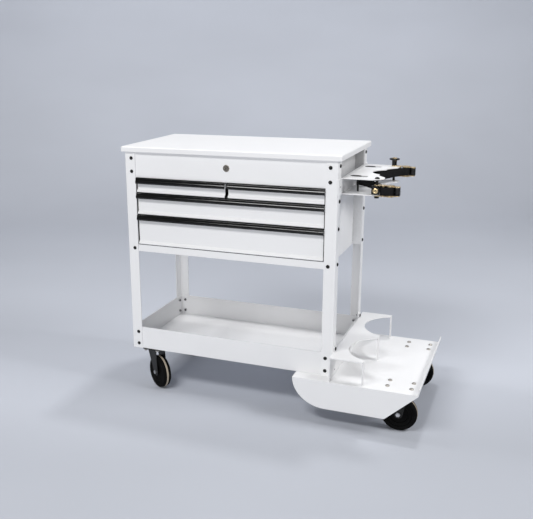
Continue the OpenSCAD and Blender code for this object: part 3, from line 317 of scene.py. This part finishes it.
def paper_surface():
    """Seamless paper whose tone follows TONES, which paints light and shade along the sweep, with faint
    clouds.
    """
    graph = Graph("studio_floor")
    split = graph.node("ShaderNodeSeparateXYZ")
    graph.link(graph.node("ShaderNodeUVMap", uv_map="sweep").outputs["UV"], split.inputs["Vector"])
    low, high = TONES[0][0], TONES[-1][0]
    curve = graph.node("ShaderNodeValToRGB")
    curve.color_ramp.interpolation = "EASE"
    stops = curve.color_ramp.elements
    ready = len(stops)
    for count, (length, tone) in enumerate(TONES):
        spot = (length - low) / (high - low)
        stop = stops[count] if count < ready else stops.new(spot)
        stop.position = spot
        stop.color = (tone, tone, tone, 1)
    graph.link(graph.ramp(split.outputs["Y"], low, high), curve.inputs["Fac"])
    blotches = graph.noise(scale=0.55, detail=3, rough=0.5, stretch=(1, 1, 2.5))
    cloud = graph.ramp(blotches, 0.3, 0.75, 0.95, 1.05)
    scale = graph.node("ShaderNodeVectorMath", operation="SCALE")
    scale.inputs[0].default_value = PAPER
    graph.link(graph.math("MULTIPLY", curve.outputs["Color"], cloud), scale.inputs["Scale"])
    graph.colour(scale.outputs["Vector"])
    return graph.finish(Roughness=0.7, Specular_IOR_Level=0.2)


def studio_floor():
    """Floor that curves up into a backdrop behind the object, square to the camera."""
    mesh = bpy.data.meshes.new("studio_floor")
    bm = bmesh.new()
    layer = bm.loops.layers.uv.new("sweep")
    rows = []
    for back, up, length in sweep_profile():
        row = []
        for side in (-SWEEP_HALF_WIDTH, SWEEP_HALF_WIDTH):
            x = -math.sin(SWEEP_TURN) * back + math.cos(SWEEP_TURN) * side
            y = math.cos(SWEEP_TURN) * back + math.sin(SWEEP_TURN) * side
            row.append((bm.verts.new((x, y, up)), (side, length)))
        rows.append(row)
    for lower, upper in zip(rows, rows[1:]):
        corners = (lower[0], lower[1], upper[1], upper[0])
        face = bm.faces.new([vert for vert, uv in corners])
        for loop, (vert, uv) in zip(face.loops, corners):
            loop[layer].uv = uv
    bm.to_mesh(mesh)
    bm.free()
    for polygon in mesh.polygons:
        polygon.use_smooth = True
    mesh.materials.append(paper_surface())
    floor = bpy.data.objects.new("studio_floor", mesh)
    bpy.context.scene.collection.objects.link(floor)


# camera, solved from corner points of the photograph: angles in degrees, place in metres, sensor in mm

AZIMUTH, ELEVATION, ROLL = 22.93, 16.415, -0.64
CAMERA_PLACE = (0.8059, -2.4773, 1.1964)
FOCAL_PIXELS, PHOTO_WIDTH_PIXELS = 767.35, 533
SENSOR_WIDTH = 36
SHIFT_X, SHIFT_Y = 0.0839, 0.0268


def photo_camera():
    """The camera at the photograph's place, with the shift that its framing needs."""
    azimuth, elevation, roll = (math.radians(angle) for angle in (AZIMUTH, ELEVATION, ROLL))
    back = Vector((math.sin(azimuth) * math.cos(elevation), -math.cos(azimuth) * math.cos(elevation),
                   math.sin(elevation)))
    right = Vector((math.cos(azimuth), math.sin(azimuth), 0))
    up = back.cross(right)
    turn = Matrix((right, up, back)).transposed() @ Matrix.Rotation(roll, 3, "Z")
    data = bpy.data.cameras.new("photo_camera")
    data.sensor_fit = "HORIZONTAL"
    data.sensor_width = SENSOR_WIDTH
    data.lens = FOCAL_PIXELS / PHOTO_WIDTH_PIXELS * SENSOR_WIDTH
    data.shift_x = SHIFT_X
    data.shift_y = SHIFT_Y
    camera = bpy.data.objects.new("photo_camera", data)
    camera.matrix_world = Matrix.Translation(CAMERA_PLACE) @ turn.to_4x4()
    bpy.context.scene.collection.objects.link(camera)
    bpy.context.scene.camera = camera


# lamps: name, place, point faced, width and height in metres, watts

LAMPS = [
    ("ceiling_back", (0.30, 1.44, 5.4), (-0.14, 0.0, 0.4), (0.45, 0.45), 64),
    ("ceiling_left", (-3.0, -0.1, 5.2), (0.0, 0.0, 0.2), (0.5, 0.5), 36),
    ("key_front", (-0.75, -2.8, 3.4), (0.0, 0.0, 0.4), (2.0, 0.7), 84),
    ("fill_right", (3.3, 0.0, 3.1), (0.0, 0.0, 0.4), (1.3, 1.3), 88),
    ("fill_front", (0.6, -4.4, 1.3), (0.0, 0.0, 0.45), (3.0, 1.6), 52),
]
ROOM_COLOUR, ROOM_STRENGTH = (0.97, 0.98, 1.0), 0.13


def soft_box(name, location, target, size, power):
    """One plain rectangular area lamp."""
    data = bpy.data.lights.new(name, "AREA")
    data.shape = "RECTANGLE"
    data.size, data.size_y = size
    data.energy = power
    light = bpy.data.objects.new(name, data)
    bpy.context.scene.collection.objects.link(light)
    light.location = location
    direction = Vector(target) - Vector(location)
    light.rotation_euler = direction.to_track_quat("-Z", "Y").to_euler()


def room_light():
    """Weak even light from all round, and the view transform of the picture."""
    world = bpy.data.worlds.new("studio")
    world.use_nodes = True
    background = world.node_tree.nodes["Background"]
    background.inputs["Color"].default_value = (*ROOM_COLOUR, 1)
    background.inputs["Strength"].default_value = ROOM_STRENGTH
    bpy.context.scene.world = world
    bpy.context.scene.view_settings.view_transform = "Standard"


studio_floor()
photo_camera()
for lamp in LAMPS:
    soft_box(*lamp)
room_light()


# mesh helpers


def add_piece(name, bm, material, body, smooth=True):
    """Turns the built mesh into a piece that rides on a body, with the given material."""
    mesh = bpy.data.meshes.new(name)
    bm.normal_update()
    bm.to_mesh(mesh)
    bm.free()
    for polygon in mesh.polygons:
        polygon.use_smooth = smooth
    mesh.materials.append(material)
    piece = bpy.data.objects.new(name, mesh)
    bpy.context.scene.collection.objects.link(piece)
    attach(piece, body)
    return piece


def wall(bm, rings):
    """Faces between closed rings of as many vertices each."""
    count = len(rings[0])
    for ring, after in zip(rings, rings[1:]):
        for k in range(count):
            following = (k + 1) % count
            bm.faces.new((ring[k], ring[following], after[following], after[k]))


def close_ends(bm, rings):
    """Flat faces on the first and the last ring, with all faces turned outwards."""
    bm.faces.new(list(reversed(rings[0])))
    bm.faces.new(rings[-1])
    bmesh.ops.recalc_face_normals(bm, faces=bm.faces)


def lathe(bm, profile, place, steps):
    """Revolves (radius, height) points about Z and puts the result at place."""
    rings = []
    for radius, height in profile:
        ring = []
        for step in range(steps):
            angle = 2 * math.pi * step / steps
            point = Vector((radius * math.cos(angle), radius * math.sin(angle), height))
            ring.append(bm.verts.new(place @ point))
        rings.append(ring)
    wall(bm, rings)


RIM = 0.6 * MM


def prism(name, profile, x0, x1, material, body, smooth=True):
    """Closed (y, z) profile run along x, with a narrow rim at both ends that keeps the shading even."""
    bm = bmesh.new()
    rim = min(RIM, (x1 - x0) / 4)
    rings = [[bm.verts.new((x, y, z)) for y, z in profile] for x in (x0, x0 + rim, x1 - rim, x1)]
    wall(bm, rings)
    close_ends(bm, rings)
    return add_piece(name, bm, material, body, smooth)


def shadow_strip(name, profile, x0, x1, body):
    """Thin dark strip of painted shadow that fills a narrow gap."""
    prism(name, profile, x0, x1, shadow_black, body, False)


# drawer trim: outlines in mm, seen from the right-hand end

# rounded bead over each pull: distance in front of the pull and distance below its top
BEAD = [(-3.0, -0.15), (-1.0, 0.5), (-0.1, 1.6), (0.2, 3.0), (0.3, 6.0), (0.6, 7.2), (1.2, 8.3),
        (1.9, 9.5), (2.4, 10.8), (2.6, 12.5), (2.6, 14.5), (2.2, 16.8), (1.2, 18.5), (0.0, 19.1),
        (-1.8, 19.2), (-1.8, 17.5), (-1.0, 16.0), (-0.6, 12.0), (-0.9, 5.0), (-2.6, 1.7), (-4.2, 0.3)]
# bulged lip of the drawer front: distance in front of the face and height above its lower edge
LIP = [(6.6, -0.3), (7.5, 2.7), (6.5, 5.6), (2.7, 8.9), (0.6, 11.2)]

# the drawer's lip stands this far in front of its recessed face
LIP_DEPTH = 7 * MM
# bead: its height, and its lap over the ends of the pull
BEAD_HEIGHT, BEAD_LAP = 19.2 * MM, 0.2 * MM
# painted shadow over the top of the pull: heights above it, edges in front of the posts, and distance from
# the pull's back
TOP_SHADOW_UNDER, TOP_SHADOW_OVER = 0.3 * MM, 0.9 * MM
TOP_SHADOW_LOWER_FRONT, TOP_SHADOW_UPPER_FRONT, TOP_SHADOW_BACK = 0.4 * MM, 0.8 * MM, 0.5 * MM
# strips of painted shadow at the drawer's ends: outline about the recessed face, reach over the gap and lap
# on the drawer
FACE_PROUD, FACE_DEEP, FACE_FOOT = 0.5 * MM, 3 * MM, 0.5 * MM
END_GAP, MIDDLE_GAP, END_LAP = 1.2 * MM, 1.8 * MM, 0.7 * MM
# strip of painted shadow beside the right front post: reach over the gap, lap on the drawer, outline about
# the post's front
POST_GAP, POST_LAP = 1.4 * MM, 0.6 * MM
POST_PROUD, POST_DEEP, POST_FOOT = 0.6 * MM, 0.5 * MM, 0.3 * MM
# strip of painted shadow on the rail: outline about the rail's front, then about its top
RAIL_PROUD, RAIL_SKIN, RAIL_DEEP = 0.6 * MM, 0.1 * MM, 7 * MM
RAIL_LIP, RAIL_RISE, RAIL_LIFT = 0.8 * MM, 1.2 * MM, 0.1 * MM
# strip of painted shadow at the divider: distances from the recessed faces, from the divider and from the
# two drawers
DIVIDER_SET_BACK = 2.5 * MM
DIVIDER_FOOT, DIVIDER_HEAD, DIVIDER_BACK = 1.5 * MM, 0.5 * MM, 0.3 * MM
DIVIDER_SIDE = 2.1 * MM

post_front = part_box("post_front_right")[0][1]


def drawer_trim(drawer):
    """Glossy bead on one pull, and strips of painted shadow above it and in the gaps at the drawer's ends.
    """
    pull_low, pull_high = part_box(drawer + "_pull")
    body_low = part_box(drawer + "_body")[0]
    top, foot, face_y = pull_high[2], body_low[2], body_low[1] + LIP_DEPTH
    left, right = pull_low[0], pull_high[0]
    bead = [(pull_low[1] - out * MM, top - down * MM) for out, down in BEAD]
    prism(drawer + "_pull_bead", bead, left - BEAD_LAP, right + BEAD_LAP, gloss_black, drawer)

    top_shadow_back = pull_high[1] - TOP_SHADOW_BACK
    top_shadow = [(post_front - TOP_SHADOW_LOWER_FRONT, top + TOP_SHADOW_UNDER), (top_shadow_back, top + TOP_SHADOW_UNDER),
             (top_shadow_back, top + TOP_SHADOW_OVER), (post_front - TOP_SHADOW_UPPER_FRONT, top + TOP_SHADOW_OVER)]
    shadow_strip(drawer + "_pull_top_shadow", top_shadow, left, right, drawer)

    bead_foot = top - BEAD_HEIGHT
    face = [(face_y - out * MM, foot + up * MM) for out, up in LIP]
    face += [(face_y - FACE_PROUD, bead_foot), (face_y + FACE_DEEP, bead_foot),
             (face_y + FACE_DEEP, foot + FACE_FOOT)]
    for side, edge, out in (("left", left, -1), ("right", right, 1)):
        at_divider = drawer.startswith("drawer_small") and not drawer.endswith(side)
        gap = MIDDLE_GAP if at_divider else END_GAP
        x0, x1 = sorted((edge + out * gap, edge - out * END_LAP))
        shadow_strip(f"{drawer}_{side}_edge_shadow_strip", face, x0, x1, drawer)
        if side == "right" and not at_divider:
            strip_front, strip_back = post_front - POST_PROUD, post_front + POST_DEEP
            strip = [(strip_front, bead_foot), (strip_back, bead_foot), (strip_back, foot + POST_FOOT),
                     (strip_front, foot + POST_FOOT)]
            shadow_strip(f"{drawer}_post_shadow_strip", strip, right - POST_LAP, right + POST_GAP, drawer)


def rail_gap_shadow_strip():
    """Dark line of painted shadow between the lowest drawer and the rail below it."""
    drawer_low, drawer_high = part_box("drawer_deep_body")
    rail_low, rail_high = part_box("chest_front_rail")
    front, top = rail_low[1], rail_high[2]
    profile = [(front - RAIL_PROUD, top - RAIL_LIP), (front - RAIL_PROUD, top + RAIL_RISE),
               (front + RAIL_DEEP, top + RAIL_RISE), (front + RAIL_DEEP, top + RAIL_LIFT),
               (front - RAIL_SKIN, top + RAIL_LIFT), (front - RAIL_SKIN, top - RAIL_LIP)]
    shadow_strip("rail_gap_shadow_strip", profile, drawer_low[0], drawer_high[0], "cart")


def divider_gap_shadow_strip():
    """Dark line of painted shadow between the two small drawers, in front of the divider."""
    left_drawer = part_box("drawer_small_left_body")
    right_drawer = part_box("drawer_small_right_body")
    divider_low, divider_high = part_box("drawer_divider")
    front = left_drawer[0][1] + LIP_DEPTH + DIVIDER_SET_BACK
    back = divider_low[1] - DIVIDER_BACK
    foot, head = divider_low[2] + DIVIDER_FOOT, divider_high[2] - DIVIDER_HEAD
    profile = [(front, foot), (front, head), (back, head), (back, foot)]
    x0, x1 = left_drawer[1][0] + DIVIDER_SIDE, right_drawer[0][0] - DIVIDER_SIDE
    shadow_strip("divider_gap_shadow_strip", profile, x0, x1, "cart")


for drawer_name in ("drawer_small_left", "drawer_small_right", "drawer_medium", "drawer_deep"):
    drawer_trim(drawer_name)
rail_gap_shadow_strip()
divider_gap_shadow_strip()

# webbing, measured from each strap's anchor bolt: x outwards, y to the middle of the cart, z up from the
# foot of the near ratchet frame; the far strap's points are turned half round about the line that runs
# outwards through the middle of the bracket

WEB_WIDTH, WEB_THICK = 25 * MM, 1.6 * MM
ANCHOR_X, ANCHOR_Y = JOINTS["far_knob_turn"]["pos_m"][:2]
SPOOL_X = JOINTS["far_handle_open"]["pos_m"][0] - ANCHOR_X
FRAME_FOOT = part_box("near_ratchet_frame")[0][2]
BRACKET_LOW, BRACKET_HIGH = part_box("upper_bracket")
BRACKET_MIDDLE = (BRACKET_LOW[2] + BRACKET_HIGH[2]) / 2

# loop pin, and the eye round it: angles in degrees, heights of the eye's lower edge
PIN_HEAD_RADIUS, PIN_RADIUS = 5.5 * MM, 3.05 * MM
PIN_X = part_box("strap_anchor_bolts")[0][0] + PIN_HEAD_RADIUS - ANCHOR_X
PIN_Y = 34 * MM
EYE_START, EYE_TURN, EYE_STEPS = -80, -190, 24
NEAR_EYE_LIFT = 22 * MM
NEAR_EYE_FOOT = BRACKET_LOW[2] + NEAR_EYE_LIFT - FRAME_FOOT
FAR_EYE_FOOT = BRACKET_MIDDLE - WEB_WIDTH / 2 - FRAME_FOOT
# run from the eye to the spool, and the turns wound on the spool's shaft
RUN_STEPS = 24
SHAFT_RADIUS, WIND_PITCH, WIND_FOOT = 5.05 * MM, 2.2 * MM, 5 * MM
WIND_TURNS, WIND_START, TURN_STEPS = 3, 0.25, 20


def strap_point(x, y, z, far):
    """World place of a point that is given about the anchor bolt and the foot of the ratchet frame."""
    if far:
        return Vector((ANCHOR_X + x, ANCHOR_Y - y, 2 * BRACKET_MIDDLE - (FRAME_FOOT + z)))
    return Vector((ANCHOR_X + x, -ANCHOR_Y + y, FRAME_FOOT + z))


def web_route(eye_foot):
    """Centre line of one strap: eye round the loop pin, run to the spool and winding on it."""
    points = []
    eye_radius = PIN_RADIUS + WEB_THICK / 2
    for step in range(EYE_STEPS + 1):
        angle = math.radians(EYE_START + EYE_TURN * step / EYE_STEPS)
        points.append((PIN_X + eye_radius * math.cos(angle), PIN_Y + eye_radius * math.sin(angle), eye_foot))
    start = Vector((PIN_X, PIN_Y + eye_radius))
    end = Vector((SPOOL_X, SHAFT_RADIUS + WIND_PITCH * (WIND_TURNS + WIND_START) + WEB_THICK / 2))
    for step in range(1, RUN_STEPS):
        share = step / RUN_STEPS
        place = start.lerp(end, share)
        drop = share * share * (3 - 2 * share)
        points.append((place.x, place.y, eye_foot + (WIND_FOOT - eye_foot) * drop))
    for step in range(TURN_STEPS * WIND_TURNS, -1, -1):
        turns = WIND_START + step / TURN_STEPS
        radius = SHAFT_RADIUS + WIND_PITCH * turns + WEB_THICK / 2
        angle = 2 * math.pi * turns
        points.append((SPOOL_X + radius * math.cos(angle), radius * math.sin(angle), WIND_FOOT))
    return points


# section of the webbing as shares of its thickness and its width, with rounded selvedges
SECTION_SHARES = [(-0.5, 0.02), (-0.5, 0.5), (-0.5, 0.98), (-0.3, 1.0), (0.3, 1.0), (0.5, 0.98), (0.5, 0.5),
                  (0.5, 0.02), (0.3, 0.0), (-0.3, 0.0)]
THICKNESS_SHARE = 0.94


def ribbon(name, route, far):
    """Flat woven strap; route is its centre line along its lower edge."""
    bm = bmesh.new()
    layer = bm.loops.layers.uv.new("ribbon")
    thickness = WEB_THICK * THICKNESS_SHARE
    rings, uvs = [], {}
    length = 0.0
    for k, point in enumerate(route):
        place = Vector(point)
        if k:
            length += (place - Vector(route[k - 1])).length
        ahead = (Vector(route[min(k + 1, len(route) - 1)]) - Vector(route[max(k - 1, 0)])).normalized()
        across = Vector((-ahead.y, ahead.x, 0)).normalized()
        ring = []
        for out, up in SECTION_SHARES:
            corner = place + across * (out * thickness) + Vector((0, 0, up * WEB_WIDTH))
            vert = bm.verts.new(strap_point(*corner, far))
            uvs[vert] = (length, up * WEB_WIDTH)
            ring.append(vert)
        rings.append(ring)
    wall(bm, rings)
    for face in bm.faces:
        for loop in face.loops:
            loop[layer].uv = uvs[loop.vert]
    close_ends(bm, rings)
    return add_piece(name, bm, web_black, "cart")


def smooth_path(knots, steps):
    """Catmull-Rom curve through (x, y, z) knots."""
    knots = [Vector(knot) for knot in knots]
    knots = [knots[0] * 2 - knots[1]] + knots + [knots[-1] * 2 - knots[-2]]
    path = []
    for k in range(1, len(knots) - 2):
        before, start, end, after = knots[k - 1:k + 3]
        for step in range(steps):
            t = step / steps
            square = (2 * before - 5 * start + 4 * end - after) * t * t
            cube = (3 * start - before - 3 * end + after) * t ** 3
            path.append(0.5 * ((2 * start) + (end - before) * t + square + cube))
    path.append(knots[-2])
    return path


def lap(radius, start, stop, step):
    """Knots of a free end that laps the winding, for a range of angles in degrees."""
    return [(SPOOL_X + radius * math.cos(angle), radius * math.sin(angle), WIND_FOOT)
            for angle in map(math.radians, range(start, stop, step))]


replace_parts(ribbon("near_strap", web_route(NEAR_EYE_FOOT), False), "near_strap_webbing")
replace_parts(ribbon("far_strap", web_route(FAR_EYE_FOOT), True), "far_strap_webbing")

# free ends, whose knots are given one by one: the near one laps the winding, and the far one leaves its
# winding, crosses the notch of the bracket and ends in the channel
NEAR_LAP, FAR_LAP = 15.2 * MM, 15.4 * MM
TAIL_STEPS = 4
TAIL_LIFT = 4 * MM
TAIL_FOOT = BRACKET_LOW[2] + TAIL_LIFT - FRAME_FOOT

near_tail = [(0.0132, -0.0128, WIND_FOOT), (0.018, -0.0144, WIND_FOOT), (0.026, -0.0154, WIND_FOOT),
             (0.034, -0.0154, WIND_FOOT)] + lap(NEAR_LAP, -80, 31, 10)
ribbon("near_strap_tail", smooth_path(near_tail, TAIL_STEPS), False)
far_tail = lap(FAR_LAP, -10, 81, 15)
far_tail += [(0.034, 0.0176, WIND_FOOT + 0.4 * MM), (0.0225, 0.030, TAIL_FOOT), (0.008, 0.058, TAIL_FOOT),
             (-0.010, 0.092, TAIL_FOOT + 1.2 * MM), (-0.026, 0.122, TAIL_FOOT + 2 * MM),
             (-0.040, 0.150, TAIL_FOOT + 2 * MM), (-0.052, 0.172, TAIL_FOOT + 1 * MM),
             (-0.066, 0.186, TAIL_FOOT + 1 * MM)]
ribbon("far_strap_tail", smooth_path(far_tail, TAIL_STEPS), True)

# folds of the webbing in the bracket's slots

FOLD_BEHIND_PIN = 7 * MM
FOLD_X = ANCHOR_X + PIN_X - FOLD_BEHIND_PIN
FOLD_HALF_LENGTH, FOLD_HALF_WIDTH = 18.2 * MM, 11.2 * MM
FOLD_PROUD, FOLD_DEEP = 0.6 * MM, 2.7 * MM
FOLD_LOWER_ROUND, FOLD_UPPER_ROUND = 0.4 * MM, 1.2 * MM
FOLD_LOWER_EDGE, FOLD_UPPER_EDGE = 0.5 * MM, 0.7 * MM
FOLD_ARC_STEPS = 16


def strap_fold(name, y):
    """Folded end of the webbing that fills the slot of the bracket's top flange."""
    low, high = BRACKET_HIGH[2] - FOLD_DEEP, BRACKET_HIGH[2] + FOLD_PROUD
    levels = ((low, FOLD_LOWER_ROUND), (low + FOLD_LOWER_EDGE, 0.0), (high - FOLD_UPPER_EDGE, 0.0),
              (high, FOLD_UPPER_ROUND))
    bm = bmesh.new()
    layer = bm.loops.layers.uv.new("ribbon")
    rings = []
    for z, inset in levels:
        ring = []
        radius = FOLD_HALF_WIDTH - inset
        for sign in (1, -1):
            for step in range(FOLD_ARC_STEPS + 1):
                angle = math.radians(-90 + 180 * step / FOLD_ARC_STEPS)
                reach = FOLD_HALF_LENGTH - FOLD_HALF_WIDTH + radius * math.cos(angle)
                ring.append(bm.verts.new((FOLD_X + sign * reach, y + sign * radius * math.sin(angle), z)))
        rings.append(ring)
    wall(bm, rings)
    close_ends(bm, rings)
    for face in bm.faces:
        for loop in face.loops:
            loop[layer].uv = (loop.vert.co.x, loop.vert.co.y)
    add_piece(name, bm, web_black, "cart")


# sleeves on the ratchet handles, about the anchor bolt as the webbing

SLEEVE_LOW, SLEEVE_HIGH = 4.6 * MM, 30.4 * MM
SLEEVE_REACH = 24 * MM
SLEEVE_X = SPOOL_X + SLEEVE_REACH
SLEEVE_HALF_X, SLEEVE_HALF_Y, SLEEVE_CORNER = 7.5 * MM, 9.9 * MM, 4.2 * MM
SLEEVE_LEVELS, SLEEVE_CORNER_STEPS = 23, 5
SLEEVE_END_INSET, SLEEVE_GROOVE = 0.6 * MM, 0.22 * MM


def grip_sleeve(name, body, far):
    """Black ribbed sleeve over the grip bar of a ratchet handle, between its two arms."""
    bm = bmesh.new()
    rings = []
    last = SLEEVE_LEVELS - 1
    for level in range(SLEEVE_LEVELS):
        z = SLEEVE_LOW + (SLEEVE_HIGH - SLEEVE_LOW) * level / last
        inset = SLEEVE_END_INSET if level in (0, last) else (0.0 if level % 2 else SLEEVE_GROOVE)
        radius = SLEEVE_CORNER - inset
        ring = []
        for side_x, side_y, start in ((1, 1, 0), (-1, 1, 90), (-1, -1, 180), (1, -1, 270)):
            for step in range(SLEEVE_CORNER_STEPS + 1):
                angle = math.radians(start + 90 * step / SLEEVE_CORNER_STEPS)
                x = SLEEVE_X + side_x * (SLEEVE_HALF_X - SLEEVE_CORNER) + radius * math.cos(angle)
                y = side_y * (SLEEVE_HALF_Y - SLEEVE_CORNER) + radius * math.sin(angle)
                ring.append(bm.verts.new(strap_point(x, y, z, far)))
        rings.append(ring)
    wall(bm, rings)
    close_ends(bm, rings)
    add_piece(name, bm, handle_black, body)


# caps on the knobs: radius and height in mm

CAP = [(7.9, 0.0), (8.4, 0.4), (8.4, 1.1), (7.8, 1.6), (7.0, 2.1), (5.8, 2.5), (3.4, 2.6), (2.9, 2.0),
       (1.3, 2.0), (0.8, 2.4), (0.1, 2.5)]
CAP_SEAT = 2 * MM
CAP_STEPS = 48


def knob_cap(name, body, centre, axis):
    """Pressed yellow-zinc cap with a rolled rim on the end of a knob."""
    place = Matrix.Translation(Vector(centre)) @ Vector(axis).to_track_quat("Z", "Y").to_matrix().to_4x4()
    bm = bmesh.new()
    lathe(bm, [(radius * MM, height * MM) for radius, height in CAP], place, CAP_STEPS)
    bmesh.ops.recalc_face_normals(bm, faces=bm.faces)
    add_piece(name, bm, yellow_zinc, body)


strap_fold("near_strap_fold", PIN_Y - ANCHOR_Y)
strap_fold("far_strap_fold", ANCHOR_Y - PIN_Y)
grip_sleeve("near_grip_sleeve", "near_handle", False)
grip_sleeve("far_grip_sleeve", "far_handle", True)
near_knob_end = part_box("near_tension_knob")[0][1]
near_knob_z = JOINTS["near_knob_turn"]["pos_m"][2]
knob_cap("near_knob_cap", "near_knob", (ANCHOR_X, near_knob_end + CAP_SEAT, near_knob_z), (0, -1, 0))
far_knob_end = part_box("far_tension_knob")[1][2]
knob_cap("far_knob_cap", "far_knob", (ANCHOR_X, ANCHOR_Y, far_knob_end - CAP_SEAT), (0, 0, 1))

# tread bands of the wheels

TREAD_HALF, TREAD_SUNK, TREAD_SHOULDER, TREAD_PROUD = 4 * MM, 0.6 * MM, 0.3 * MM, 0.4 * MM
TREAD_SHOULDER_SHARE = 0.8
TREAD_STEPS = 96


def tread_band(name, body, centre, axis):
    """Tan line round the middle of a tyre, slightly proud of the rubber; the wheel stands on the floor."""
    radius = centre.z
    shoulder = TREAD_HALF * TREAD_SHOULDER_SHARE
    place = Matrix.Translation(centre) @ axis.to_track_quat("Z", "Y").to_matrix().to_4x4()
    profile = [(radius - TREAD_SUNK, -TREAD_HALF), (radius + TREAD_SHOULDER, -shoulder),
               (radius + TREAD_PROUD, 0), (radius + TREAD_SHOULDER, shoulder),
               (radius - TREAD_SUNK, TREAD_HALF)]
    bm = bmesh.new()
    lathe(bm, profile, place, TREAD_STEPS)
    add_piece(name, bm, tan_tread, body)


for joint_name, joint in JOINTS.items():
    if joint_name.startswith("roll_"):
        wheel = joint["child"]
        tread_band(wheel + "_tread", wheel, Vector(joint["pos_m"]), Vector(joint["axis"]).normalized())
